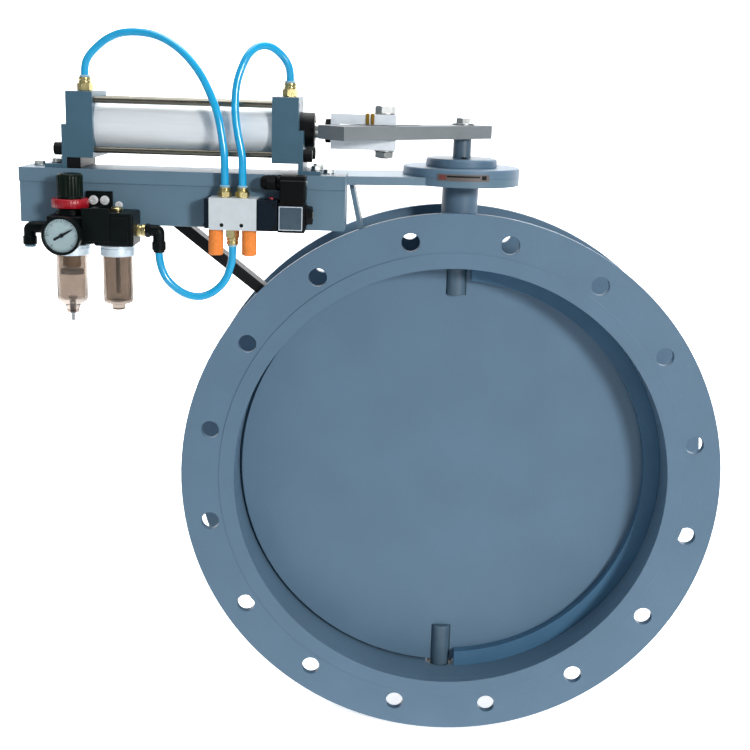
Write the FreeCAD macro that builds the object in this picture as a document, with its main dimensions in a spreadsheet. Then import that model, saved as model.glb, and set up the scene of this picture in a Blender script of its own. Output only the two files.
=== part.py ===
import FreeCAD, Part
import math
import os
import Sketcher

# Flanged butterfly valve turned by a pneumatic cylinder through a slotted crank, with its air
# preparation unit and solenoid valve.  Millimetres, +Z up, +Y along the pipe.  The origin is the
# centre of the front flange's raised face.

DOC = FreeCAD.newDocument("pneumatic_valve_unit")
SHEET = DOC.addObject("Spreadsheet::Sheet", "sizes")

DIMENSIONS = [
    # pipe body, on the DN450 PN6 bolt circle
    ("flange_dia", 605), ("bolt_circle", 550), ("bolt_count", 16), ("bolt_hole", 20),
    ("pipe_bore", 486), ("face_to_face", 114), ("flange_thick", 10), ("shell_wall", 6),
    ("raised_face_dia", 520), ("raised_face_step", 1),
    # disc, seats and shaft
    ("disc_dia", 480), ("disc_thick", 8), ("shaft_dia", 22), ("upper_notch", 34), ("lower_notch", 45),
    ("seat_depth", 18.5), ("seat_width", 12), ("seat_gap", 0.3), ("seat_end", 16),
    ("neck_dia", 40), ("neck_bore", 30), ("run_clear", 0.05), ("press_clear", 0.05),
    ("bush_long", 58), ("lower_neck_end", 290), ("stem_neck_dia", 20),
    # top works
    ("plate_low", 330), ("plate_thick", 9), ("top_flange_dia", 128), ("top_flange_thick", 9.5),
    ("gland_dia", 78), ("gland_thick", 9),
    # crank and cylinder line
    ("cylinder_height", 386), ("stroke", 150), ("pin_rest", 85), ("arm_thick", 14),
    ("arm_width", 42), ("arm_reach", 184), ("arm_tail", 24), ("slot_lag", 9.7), ("slot_lead", 3.2),
    ("slot_clear", 0.6), ("pin_dia", 10),
    ("fork_width", 24), ("fork_height", 36), ("fork_gap", 15), ("fork_nose", 12),
    ("fork_throat", 46.5), ("fork_base", 9), ("rod_dia", 16), ("nut_flats", 24), ("nut_thick", 6),
    ("cap_side", 66), ("cap_thick", 27), ("rear_cap_left", -408), ("barrel_long", 182),
    ("barrel_dia", 55), ("barrel_bore", 50), ("tie_pitch", 50), ("tie_dia", 6.5), ("tie_bite", 10),
    ("gland_out", 15), ("rod_gland_dia", 36), ("seal_bore", 22), ("piston_thick", 20),
    ("piston_start", 3), ("seal_groove", 3), ("foot_thick", 5), ("foot_rise", 44), ("foot_step", 18),
    ("screw_gap", 0.2), ("screw_head_dia", 13), ("screw_head_high", 9), ("screw_key", 5),
    # bracket
    ("beam_left", -457), ("beam_right", -123), ("beam_low", 286), ("beam_top", 342),
    ("beam_front", -52), ("beam_back", 10), ("beam_wall", 4), ("lid_thick", 3), ("lid_lip", 14),
    ("lid_skin", 2), ("brace_side", 12), ("brace_deep", 24), ("brace_long", 225), ("leg_thick", 5),
    ("leg_wide", 46), ("brace_left", -346), ("brace_height", 305),
    # air preparation unit
    ("unit_back", -56), ("unit_deep", 40), ("filter_x", -399), ("oiler_x", -352),
    ("unit_low", 269), ("unit_high", 298), ("oiler_high", 303), ("bowl_low", 209), ("bowl_wall", 2),
    ("filter_bowl_dia", 31), ("oiler_bowl_dia", 30), ("knob_low", 314.4), ("knob_high", 339),
    ("knob_dia", 26), ("bonnet_dia", 29), ("bonnet_high", 305), ("spindle_dia", 8),
    ("lock_ring_dia", 37), ("lock_ring_thick", 9), ("collar_high", 11), ("filter_collar_dia", 39),
    ("oiler_collar_dia", 35), ("bowl_gap", 0.1), ("drain_dia", 5), ("unit_port", 10),
    ("unit_port_deep", 16), ("screw_hole_gap", 0.05), ("boss_dia", 16), ("boss_long", 6),
    ("gauge_dia", 38.8), ("gauge_height", 281), ("gauge_front", -118), ("glass_thick", 1.2),
    ("hose_dia", 8), ("hose_bite", 16), ("port_height", 284), ("nipple_dia", 13), ("nipple_long", 9),
    # solenoid valve
    ("valve_left", -259), ("valve_long", 48), ("valve_low", 287), ("valve_high", 319),
    ("valve_front", -79), ("spool_bore", 14), ("port_pitch", 17), ("valve_port", 9.9),
    ("port_shift", -1.5), ("end_thick", 5), ("pilot_long", 21), ("coil_long", 28), ("coil_bore", 9),
    ("coil_high", 316), ("plug_high", 26), ("gland_rise", 19), ("cable_dia", 7),
    ("button_dia", 5), ("button_inset", 9), ("silencer_dia", 15), ("silencer_long", 27),
    # ports of the cylinder's caps
    ("cap_port", 12.1), ("cap_port_deep", 10), ("cap_way", 6), ("way_rise", 15),
    ("rear_port_inset", 12.5), ("front_port_inset", 15.5), ("foot_screw", 6), ("foot_screw_deep", 12),
]
for row, (alias, value) in enumerate(DIMENSIONS, start=1):
    SHEET.set(f"A{row}", alias)
    SHEET.set(f"B{row}", str(value))
    SHEET.setAlias(f"B{row}", alias)
DOC.recompute()


class Size:
    """A number together with the spreadsheet expression that gives it."""

    def __init__(self, value, text):
        self.value = value
        self.text = text

    def __add__(self, other):
        other = as_size(other)
        return Size(self.value + other.value, f"({self.text} + {other.text})")

    def __sub__(self, other):
        other = as_size(other)
        return Size(self.value - other.value, f"({self.text} - {other.text})")

    def __mul__(self, other):
        other = as_size(other)
        return Size(self.value * other.value, f"({self.text} * {other.text})")

    def __truediv__(self, other):
        other = as_size(other)
        return Size(self.value / other.value, f"({self.text} / {other.text})")

    def __neg__(self):
        return Size(-self.value, f"(0 - {self.text})")

    def __radd__(self, other):
        return as_size(other) + self

    def __rsub__(self, other):
        return as_size(other) - self

    def __rmul__(self, other):
        return as_size(other) * self


def as_size(thing):
    if isinstance(thing, Size):
        return thing
    number = round(float(thing), 6)
    return Size(number, f"({number})" if number < 0 else f"{number}")


def root(size):
    return Size(math.sqrt(size.value), f"sqrt({size.text})")


class Sheet:
    """Reads a dimension of the sheet as an attribute."""

    def __getattr__(self, alias):
        return Size(float(SHEET.get(alias)), f"sizes.{alias}")


d = Sheet()

# directions that a piece built along +Z is turned to
UP = FreeCAD.Rotation()
DOWN = FreeCAD.Rotation(FreeCAD.Vector(1, 0, 0), 180)
RIGHT = FreeCAD.Rotation(FreeCAD.Vector(0, 1, 0), 90)
LEFT = FreeCAD.Rotation(FreeCAD.Vector(0, 1, 0), -90)
BACK = FreeCAD.Rotation(FreeCAD.Vector(1, 0, 0), -90)
FRONT = FreeCAD.Rotation(FreeCAD.Vector(1, 0, 0), 90)
HEX_CORNER = 2 / math.sqrt(3)
NODES = []


def bind(thing, prop, size):
    thing.setExpression(prop, as_size(size).text)


def place(thing, at, turn=UP):
    spot = FreeCAD.Vector(*[as_size(size).value for size in at])
    thing.Placement = FreeCAD.Placement(spot, turn)
    for axis, size in zip("xyz", at):
        bind(thing, f"Placement.Base.{axis}", size)
    return thing


def keep(thing):
    """Mark an object as a finished sub-part, one file of its own."""
    NODES.append(thing)
    return thing


def primitive(kind, name, sizes, at, turn):
    thing = DOC.addObject(kind, name)
    thing.Label = name
    for prop, size in sizes.items():
        setattr(thing, prop, as_size(size).value)
        bind(thing, prop, size)
    return place(thing, at, turn)


def box(name, low, high):
    low = [as_size(size) for size in low]
    high = [as_size(size) for size in high]
    spans = [b - a for a, b in zip(low, high)]
    return primitive("Part::Box", name, dict(zip(("Length", "Width", "Height"), spans)), low, UP)


def rod(name, radius, length, at, turn=UP):
    return primitive("Part::Cylinder", name, {"Radius": radius, "Height": length}, at, turn)


def hexagon(name, flats, length, at, turn=UP):
    sizes = {"Circumradius": as_size(flats) * (HEX_CORNER / 2), "Height": length}
    thing = primitive("Part::Prism", name, sizes, at, turn)
    thing.Polygon = 6
    return thing


def join(kind, name, things):
    thing = DOC.addObject(kind, name)
    thing.Label = name
    setattr(thing, "Links" if kind == "Part::Compound" else "Shapes", things)
    return thing


def fuse(name, *things):
    return join("Part::MultiFuse", name, list(things))


def group(name, *things):
    return join("Part::Compound", name, list(things))


def cut(name, base, *tools):
    thing = DOC.addObject("Part::Cut", name)
    thing.Label = name
    thing.Base = base
    thing.Tool = tools[0] if len(tools) == 1 else fuse(f"{name}_tools", *tools)
    return thing


def common(name, *things):
    return join("Part::MultiCommon", name, list(things))


def tube(name, outer, inner, length, at, turn=UP):
    return cut(name, rod(f"{name}_outer", outer, length, at, turn),
               rod(f"{name}_bore", inner, length, at, turn))


def origin_part(body, role):
    return [feature for feature in body.Origin.OriginFeatures if feature.Role == role][0]


def new_sketch(body, name, plane):
    sketch = body.newObject("Sketcher::SketchObject", name)
    sketch.AttachmentSupport = [(origin_part(body, plane), "")]
    sketch.MapMode = "FlatFace"
    return sketch


def fix_point(sketch, line, end, across, along):
    """Tie a sketch point to its two distances from the sketch's origin."""
    for kind, size in (("DistanceX", across), ("DistanceY", along)):
        size = as_size(size)
        index = sketch.addConstraint(Sketcher.Constraint(kind, -1, 1, line, end, size.value))
        bind(sketch, f"Constraints[{index}]", size)


def polygon_sketch(body, name, plane, corners):
    sketch = new_sketch(body, name, plane)
    points = [FreeCAD.Vector(as_size(a).value, as_size(b).value, 0) for a, b in corners]
    for start, end in zip(points, points[1:] + points[:1]):
        sketch.addGeometry(Part.LineSegment(start, end), False)
    for line in range(len(points)):
        nearer = (line + 1) % len(points)
        sketch.addConstraint(Sketcher.Constraint("Coincident", line, 2, nearer, 1))
    for line, (across, along) in enumerate(corners):
        fix_point(sketch, line, 1, across, along)
    return sketch


def circle_sketch(body, name, plane, circles):
    """Circles given as (radius, across, along)."""
    sketch = new_sketch(body, name, plane)
    for radius, across, along in circles:
        centre = FreeCAD.Vector(as_size(across).value, as_size(along).value, 0)
        axis = FreeCAD.Vector(0, 0, 1)
        shape = Part.Circle(centre, axis, as_size(radius).value)
        line = sketch.addGeometry(shape, False)
        index = sketch.addConstraint(Sketcher.Constraint("Radius", line, as_size(radius).value))
        bind(sketch, f"Constraints[{index}]", radius)
        fix_point(sketch, line, 3, across, along)
    return sketch


def new_body(name):
    body = DOC.addObject("PartDesign::Body", name)
    body.Label = name
    return body


def turned(name, outline, at, turn=UP):
    """A lathe part: its outline is (radius, height) points, turned about the height axis."""
    body = new_body(name)
    sketch = polygon_sketch(body, f"{name}_outline", "XZ_Plane", outline)
    lathe = body.newObject("PartDesign::Revolution", f"{name}_turn")
    lathe.Profile = sketch
    lathe.ReferenceAxis = (sketch, ["V_Axis"])
    lathe.Angle = 360
    return place(body, at, turn)


def pad(body, name, sketch, length):
    feature = body.newObject("PartDesign::Pad", name)
    feature.Profile = sketch
    bind(feature, "Length", length)
    return feature


def pocket(body, name, sketch, length):
    """A pocket into a pad that starts on the sketch's own plane."""
    feature = body.newObject("PartDesign::Pocket", name)
    feature.Profile = sketch
    feature.Reversed = True
    bind(feature, "Length", length)
    return feature


def around(body, name, feature, count):
    pattern = body.newObject("PartDesign::PolarPattern", name)
    pattern.Originals = [feature]
    pattern.Axis = (origin_part(body, "Z_Axis"), [""])
    pattern.Angle = 360
    pattern.Occurrences = int(count.value)
    body.Tip = pattern
    return pattern


def ring_outline(inner, outer, low, high):
    return [(inner, low), (outer, low), (outer, high), (inner, high)]


# places that several sub-parts share
MID = d.face_to_face / 2
BORE_R = d.pipe_bore / 2
SHELL_R = BORE_R + d.shell_wall
SHAFT_R = d.shaft_dia / 2
PIN_OUT = root(d.pin_rest * (d.stroke - d.pin_rest))
ROD_Y = MID - PIN_OUT
ROD_Z = d.cylinder_height
PLATE_TOP = d.plate_low + d.plate_thick
TOP_FLANGE_TOP = PLATE_TOP + d.top_flange_thick
ARM_LOW = ROD_Z - d.arm_thick / 2
ARM_TOP = ROD_Z + d.arm_thick / 2
REAR_CAP_RIGHT = d.rear_cap_left + d.cap_thick
FRONT_CAP_LEFT = REAR_CAP_RIGHT + d.barrel_long
FRONT_CAP_RIGHT = FRONT_CAP_LEFT + d.cap_thick
GLAND_END = FRONT_CAP_RIGHT + d.gland_out
REAR_PORT_X = d.rear_cap_left + d.rear_port_inset
FRONT_PORT_X = FRONT_CAP_LEFT + d.front_port_inset
PIN_X = -d.pin_rest
THROAT_X = PIN_X - d.fork_throat
FORK_LEFT = THROAT_X - d.fork_base
CAP_HALF = d.cap_side / 2
TIE_HALF = d.tie_pitch / 2
CAP_LOW = ROD_Z - CAP_HALF
CAP_HIGH = ROD_Z + CAP_HALF
UNIT_FRONT = d.unit_back - d.unit_deep
UNIT_Y = d.unit_back - d.unit_deep / 2
VALVE_RIGHT = d.valve_left + d.valve_long
VALVE_MID = d.valve_left + d.valve_long / 2
LOW_PORT_X = VALVE_MID + d.port_shift
VALVE_Y = (d.valve_front + d.beam_front) / 2
VALVE_Z = (d.valve_low + d.valve_high) / 2


def flange(name, at, turn):
    """Drilled plate flange with a raised face, built outwards from that face."""
    body = new_body(name)
    blank = circle_sketch(body, f"{name}_blank", "XY_Plane",
                          [(d.flange_dia / 2, 0, 0), (BORE_R, 0, 0)])
    pad(body, f"{name}_plate", blank, d.flange_thick)
    step = circle_sketch(body, f"{name}_step", "XY_Plane",
                         [(d.flange_dia / 2 + 1, 0, 0), (d.raised_face_dia / 2, 0, 0)])
    pocket(body, f"{name}_raised_face", step, d.raised_face_step)
    half_pitch = math.radians(180 / d.bolt_count.value)
    across = d.bolt_circle / 2 * math.sin(half_pitch)
    along = d.bolt_circle / 2 * math.cos(half_pitch)
    drill = circle_sketch(body, f"{name}_drill", "XY_Plane", [(d.bolt_hole / 2, across, along)])
    hole = pocket(body, f"{name}_hole", drill, d.flange_thick)
    around(body, f"{name}_holes", hole, d.bolt_count)
    return keep(place(body, at, turn))


def valve_body():
    flange("front_flange", (0, 0, 0), BACK)
    flange("rear_flange", (0, d.face_to_face, 0), FRONT)
    shell_long = d.face_to_face - 2 * d.flange_thick
    shell = tube("shell_ring", SHELL_R, BORE_R, shell_long, (0, d.flange_thick, 0), BACK)
    ports = rod("shell_ports", d.neck_dia / 2 + d.press_clear, 2 * SHELL_R + 2,
                (0, MID, -SHELL_R - 1))
    keep(cut("body_shell", shell, ports))


def seat_half(name, front_y, left, right):
    """The part of a seat ring that lies between these two places across the pipe."""
    ring = tube(f"{name}_ring", BORE_R, BORE_R - d.seat_depth, d.seat_width, (0, front_y, 0), BACK)
    window = box(f"{name}_window", (left, front_y, -BORE_R), (right, front_y + d.seat_width, BORE_R))
    return common(name, ring, window)


def seats():
    """One half ring stands before the disc and the other behind it, so the disc shuts on both."""
    reach = d.disc_thick / 2 + d.seat_gap
    right = seat_half("seat_right", MID - reach - d.seat_width, d.seat_end, BORE_R)
    left = seat_half("seat_left", MID + reach, -BORE_R, -d.seat_end)
    keep(group("seat_rings", right, left))


def necks():
    bore_cut = rod("neck_trim", BORE_R, d.face_to_face, (0, 0, 0), BACK)
    upper = cut("upper_neck", tube("upper_neck_tube", d.neck_dia / 2, d.neck_bore / 2,
                                   d.plate_low - BORE_R + 5, (0, MID, BORE_R - 5)), bore_cut)
    cup_end = -d.lower_neck_end
    cup = cut("lower_neck_cup",
              rod("lower_neck_round", d.neck_dia / 2, d.lower_neck_end - BORE_R + 5,
                  (0, MID, cup_end)),
              rod("lower_neck_bore", d.neck_bore / 2, d.lower_neck_end, (0, MID, cup_end + 8)))
    trim = rod("lower_neck_trim", BORE_R, d.face_to_face, (0, 0, 0), BACK)
    lower = cut("lower_neck", cup, trim)
    keep(group("bearing_necks", upper, lower))
    bush_r = d.neck_bore / 2 - d.press_clear
    inner = SHAFT_R + d.run_clear
    low_long = d.lower_neck_end - BORE_R - 12
    keep(group("stem_bushes",
               tube("upper_bush", bush_r, inner, d.bush_long, (0, MID, BORE_R + 6)),
               tube("lower_bush", bush_r, inner, low_long, (0, MID, cup_end + 9))))


def seal_rings():
    """Packing rings round the stem and the rod's lip seals, which sit in the body."""
    ring_high = 6
    rings = []
    for count in range(6):
        low = TOP_FLANGE_TOP - 1 - (count + 1) * (ring_high + 0.1)
        rings.append(tube(f"packing_{count}", d.neck_bore / 2 - d.press_clear,
                          SHAFT_R + d.run_clear, ring_high, (0, MID, low)))
    for count, start in enumerate((GLAND_END - 8, GLAND_END - 16)):
        rings.append(tube(f"rod_seal_{count}", d.seal_bore / 2 - d.press_clear,
                          d.rod_dia / 2 + d.run_clear, 5, (start, ROD_Y, ROD_Z), RIGHT))
    keep(group("shaft_seals", *rings))


def top_works():
    bore = d.neck_bore / 2
    disc = rod("plate_round", d.top_flange_dia / 2, d.plate_thick, (0, MID, d.plate_low))
    bar = new_body("plate_bar")
    outline = [(-40, 7), (d.beam_right, -10), (d.beam_right, d.beam_back),
               (d.beam_right - 67, d.beam_back), (d.beam_right - 67, 60), (-40, 107)]
    pad(bar, "plate_bar_pad", polygon_sketch(bar, "plate_bar_outline", "XY_Plane", outline),
        d.plate_thick)
    place(bar, (0, 0, d.plate_low))
    keep(cut("mount_plate", fuse("plate_blank", disc, bar),
             rod("plate_hole", bore, d.plate_thick, (0, MID, d.plate_low))))
    top = d.top_flange_thick
    keep(turned("stem_flange", [(bore, 0), (d.top_flange_dia / 2, 0), (d.top_flange_dia / 2, top - 1),
                                (d.top_flange_dia / 2 - 1, top), (bore, top)], (0, MID, PLATE_TOP)))
    gland_r = d.gland_dia / 2
    neck_r = d.stem_neck_dia / 2 + d.run_clear
    keep(turned("gland_disc", [(neck_r, 0), (gland_r, 0), (gland_r, d.gland_thick - 1.5),
                               (gland_r - 1.5, d.gland_thick), (neck_r, d.gland_thick)],
                (0, MID, TOP_FLANGE_TOP)))
    rim = d.top_flange_dia / 2
    band = tube("indicator_band", rim + 1.2, rim + 0.1, 7, (0, MID, PLATE_TOP - 2))
    window = box("indicator_window", (-28, MID - rim - 3, PLATE_TOP - 3), (28, MID, PLATE_TOP + 6))
    keep(common("indicator_plate", band, window))


def shaft_and_disc():
    upper_end = d.disc_dia / 2 - d.upper_notch
    lower_end = d.disc_dia / 2 - d.lower_notch
    shoulder = TOP_FLANGE_TOP - 0.5
    neck_r = d.stem_neck_dia / 2
    key_half = 3
    upper = turned("upper_stem", [(0, upper_end), (SHAFT_R, upper_end), (SHAFT_R, shoulder),
                                  (neck_r, shoulder), (neck_r, ARM_TOP), (0, ARM_TOP)], (0, MID, 0))
    keyed = cut("keyed_stem", upper, box("stem_keyway", (-key_half, MID - neck_r, ARM_LOW),
                                         (key_half, MID - neck_r + 3.5, ARM_TOP)),
                rod("stem_thread", 4, 16, (0, MID, ARM_TOP - 16)))
    lower = rod("lower_stem", SHAFT_R, d.lower_neck_end - 10 - lower_end,
                (0, MID, 10 - d.lower_neck_end))
    keep(group("half_shafts", keyed, lower))
    body = new_body("disc_plate")
    blank = circle_sketch(body, "disc_blank", "XY_Plane", [(d.disc_dia / 2, 0, 0)])
    pad(body, "disc_pad", blank, d.disc_thick)
    half = SHAFT_R + d.press_clear
    edge = d.disc_dia / 2 + 2
    for name, end, rim in (("lower_slot", lower_end, edge), ("upper_slot", -upper_end, -edge)):
        corners = [(-half, end), (half, end), (half, rim), (-half, rim)]
        pocket(body, name, polygon_sketch(body, f"{name}_outline", "XY_Plane", corners), d.disc_thick)
    keep(place(body, (0, MID - d.disc_thick / 2, 0), BACK))


def crank():
    """The arm is drawn along +X and turned to the shut position about the stem."""
    half = d.arm_width / 2
    thick = d.arm_thick
    blank = box("arm_blank", (-d.arm_tail, -half, 0), (d.arm_reach, half, thick))
    slot_half = (d.slot_lag + d.slot_lead + d.pin_dia) / 2 + d.slot_clear
    slot_side = (d.slot_lead - d.slot_lag) / 2
    near = PIN_OUT
    far = root(PIN_OUT * PIN_OUT + d.pin_rest * d.pin_rest)
    slot = [box("arm_slot_middle", (near, slot_side - slot_half, 0), (far, slot_side + slot_half, thick)),
            rod("arm_slot_near", slot_half, thick, (near, slot_side, 0)),
            rod("arm_slot_far", slot_half, thick, (far, slot_side, 0))]
    bore = rod("arm_bore", d.stem_neck_dia / 2, thick, (0, 0, 0))
    arm = cut("crank_arm", blank, *slot, bore)
    lean = math.degrees(math.atan2(d.pin_rest.value, PIN_OUT.value))
    turn = FreeCAD.Rotation(FreeCAD.Vector(0, 0, -1), 90 + lean)
    place(arm, (0, MID, ARM_LOW), turn)
    bind(arm, "Placement.Rotation.Angle",
         Size(90 + lean, f"90 deg + atan({d.pin_rest.text} / {PIN_OUT.text})"))
    keep(arm)
    washer = tube("arm_washer", 12, 4.2, 2, (0, MID, ARM_TOP))
    head = fuse("arm_bolt", hexagon("arm_bolt_head", 15, 6, (0, MID, ARM_TOP + 2)),
                rod("arm_bolt_shank", 3.9, 16, (0, MID, ARM_TOP - 14)))
    keyway = d.stem_neck_dia / 2
    key = box("arm_key", (-2.95, MID - keyway + 0.5, ARM_LOW), (2.95, MID - keyway + 3.4, ARM_TOP))
    keep(group("arm_fasteners", washer, head, key))


def bracket():
    wall = d.beam_wall
    shell_top = d.beam_top - d.lid_thick
    outer = box("beam_outer", (d.beam_left, d.beam_front, d.beam_low),
                (d.beam_right, d.beam_back, shell_top))
    inner = box("beam_inner", (d.beam_left + wall, d.beam_front + wall, d.beam_low + wall),
                (d.beam_right - wall, d.beam_back - wall, d.beam_top))
    keep(cut("bracket_beam", outer, inner))
    skin = d.lid_skin
    lip_low = d.beam_top - d.lid_lip
    lid = box("lid_outer", (d.beam_left, d.beam_front - skin, lip_low),
              (d.beam_right, d.beam_back + skin, d.beam_top))
    room = box("lid_inner", (d.beam_left, d.beam_front, lip_low), (d.beam_right, d.beam_back, shell_top))
    notch = box("lid_notch", (d.beam_right - 70, d.beam_back, lip_low - 1),
                (d.beam_right, d.beam_back + skin, PLATE_TOP + 0.5))
    keep(cut("beam_lid", lid, room, notch))
    brace_angle = 37.7
    fall = FreeCAD.Rotation(FreeCAD.Vector(0, 1, 0), brace_angle)
    brace = primitive("Part::Box", "brace_bar",
                      {"Length": d.brace_long, "Width": d.brace_deep, "Height": d.brace_side},
                      (d.brace_left, d.beam_back + skin + 0.2, d.brace_height), fall)
    trim = rod("brace_trim", SHELL_R, d.face_to_face, (0, 0, 0), BACK)
    leg = new_body("leg_plate")
    thick = d.leg_thick
    foot_x, knee_x, knee_z = -122, -96, 215
    outline = [(foot_x, d.plate_low), (foot_x + thick, d.plate_low), (knee_x, knee_z),
               (knee_x - thick, knee_z)]
    sketch = polygon_sketch(leg, "leg_outline", "XZ_Plane", outline)
    feature = pad(leg, "leg_pad", sketch, d.leg_wide)
    feature.Reversed = True
    place(leg, (0, d.flange_thick + 4, 0))
    leg_trim = rod("leg_trim", SHELL_R, d.face_to_face, (0, 0, 0), BACK)
    keep(group("bracket_legs", cut("diagonal_brace", brace, trim), cut("support_leg", leg, leg_trim)))


def port_ways(name, port_x, way_left, way_right):
    """Port in the top of a cap, and the way from it into the barrel."""
    port_low = CAP_HIGH - d.cap_port_deep
    way_r = d.cap_way / 2
    way_z = ROD_Z + d.way_rise
    return [rod(f"{name}_port", d.cap_port / 2, d.cap_port_deep, (port_x, ROD_Y, port_low)),
            rod(f"{name}_drop", way_r, port_low - way_z + way_r, (port_x, ROD_Y, way_z - way_r)),
            rod(f"{name}_way", way_r, way_right - way_left, (way_left, ROD_Y, way_z), RIGHT)]


def tie_spots(low_only=False):
    heights = (-1,) if low_only else (-1, 1)
    return [(ROD_Y + side * TIE_HALF, ROD_Z + up * TIE_HALF) for side in (-1, 1) for up in heights]


def cap(name, left, tie_left, screw_left, *holes):
    """Square end cap, with the tie rods' holes in one face and the screws' in the other."""
    block = box(f"{name}_block", (left, ROD_Y - CAP_HALF, CAP_LOW),
                (left + d.cap_thick, ROD_Y + CAP_HALF, CAP_HIGH))
    tools = list(holes)
    for count, (y, z) in enumerate(tie_spots()):
        tools.append(rod(f"{name}_tie_{count}", d.tie_dia / 2 + d.press_clear, d.tie_bite,
                         (tie_left, y, z), RIGHT))
        tools.append(rod(f"{name}_screw_{count}", d.foot_screw / 2 + d.press_clear,
                         d.foot_screw_deep, (screw_left, y, z), RIGHT))
    keep(cut(name, block, *tools))


def cylinder():
    cap("rear_cap", d.rear_cap_left, REAR_CAP_RIGHT - d.tie_bite, d.rear_cap_left,
        *port_ways("rear", REAR_PORT_X, REAR_PORT_X, REAR_CAP_RIGHT))
    gland_hole = rod("front_cap_hole", d.rod_gland_dia / 2 + d.press_clear, d.cap_thick,
                     (FRONT_CAP_LEFT, ROD_Y, ROD_Z), RIGHT)
    cap("front_cap", FRONT_CAP_LEFT, FRONT_CAP_LEFT, FRONT_CAP_RIGHT - d.foot_screw_deep,
        gland_hole, *port_ways("front", FRONT_PORT_X, FRONT_CAP_LEFT, FRONT_PORT_X))
    keep(tube("barrel", d.barrel_dia / 2, d.barrel_bore / 2, d.barrel_long,
              (REAR_CAP_RIGHT, ROD_Y, ROD_Z), RIGHT))
    ties = [rod(f"tie_rod_{count}", d.tie_dia / 2, d.barrel_long + 2 * d.tie_bite,
                (REAR_CAP_RIGHT - d.tie_bite, y, z), RIGHT)
            for count, (y, z) in enumerate(tie_spots())]
    keep(group("tie_rods", *ties))
    gland_r = d.rod_gland_dia / 2
    long = d.cap_thick + d.gland_out
    seal_r = d.seal_bore / 2
    bore = d.rod_dia / 2 + d.run_clear
    way = gland_r - 6
    keep(turned("rod_gland", [(bore, 10), (way, 10), (way, 0), (gland_r, 0), (gland_r, long - 1),
                              (gland_r - 1, long), (seal_r, long), (seal_r, long - 17), (bore, long - 17)],
                (FRONT_CAP_LEFT, ROD_Y, ROD_Z), RIGHT))


def foot(name, plate_left, step_left, *more_holes):
    """Angle foot on a cap's outer face, standing on the beam's lid."""
    thick = d.foot_thick
    y_low = ROD_Y - CAP_HALF
    y_high = d.beam_back
    plate = box(f"{name}_plate", (plate_left, y_low, d.beam_top),
                (plate_left + thick, ROD_Y + CAP_HALF, d.beam_top + d.foot_rise))
    step = box(f"{name}_step", (step_left, y_low + 1, d.beam_top),
               (step_left + d.foot_step, y_high, d.beam_top + thick - 1))
    holes = [rod(f"{name}_hole_{count}", d.foot_screw / 2 + d.screw_gap, thick, (plate_left, y, z), RIGHT)
             for count, (y, z) in enumerate(tie_spots(low_only=True))]
    return cut(name, fuse(f"{name}_angle", plate, step), *holes, *more_holes)


def feet():
    thick = d.foot_thick
    rear_left = d.rear_cap_left - thick
    rear = foot("rear_foot", rear_left, rear_left - d.foot_step)
    gland_notch = rod("front_foot_notch", d.rod_gland_dia / 2 + d.press_clear, thick,
                      (FRONT_CAP_RIGHT, ROD_Y, ROD_Z), RIGHT)
    front = foot("front_foot", FRONT_CAP_RIGHT, FRONT_CAP_RIGHT + thick, gland_notch)
    keep(group("foot_brackets", rear, front))
    screws = []
    for count, (y, z) in enumerate(tie_spots(low_only=True)):
        for side, face, turn in (("rear", rear_left, LEFT), ("front", FRONT_CAP_RIGHT + thick, RIGHT)):
            name = f"{side}_screw_{count}"
            way = -1 if side == "rear" else 1
            shank_x = face - way * d.foot_screw_deep
            socket = hexagon(f"{name}_socket", d.screw_key, 4, (face + way * 5, y, z), turn)
            head = cut(f"{name}_head", rod(f"{name}_round", d.screw_head_dia / 2, d.screw_head_high,
                                           (face, y, z), turn), socket)
            shank = rod(f"{name}_shank", d.foot_screw / 2, d.foot_screw_deep, (shank_x, y, z), turn)
            screws.append(fuse(name, head, shank))
    keep(group("foot_screws", *screws))
    keep(box("spacer_block", (d.rear_cap_left, ROD_Y - CAP_HALF, d.beam_top),
             (d.rear_cap_left + 14, ROD_Y + CAP_HALF, CAP_LOW)))


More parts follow.
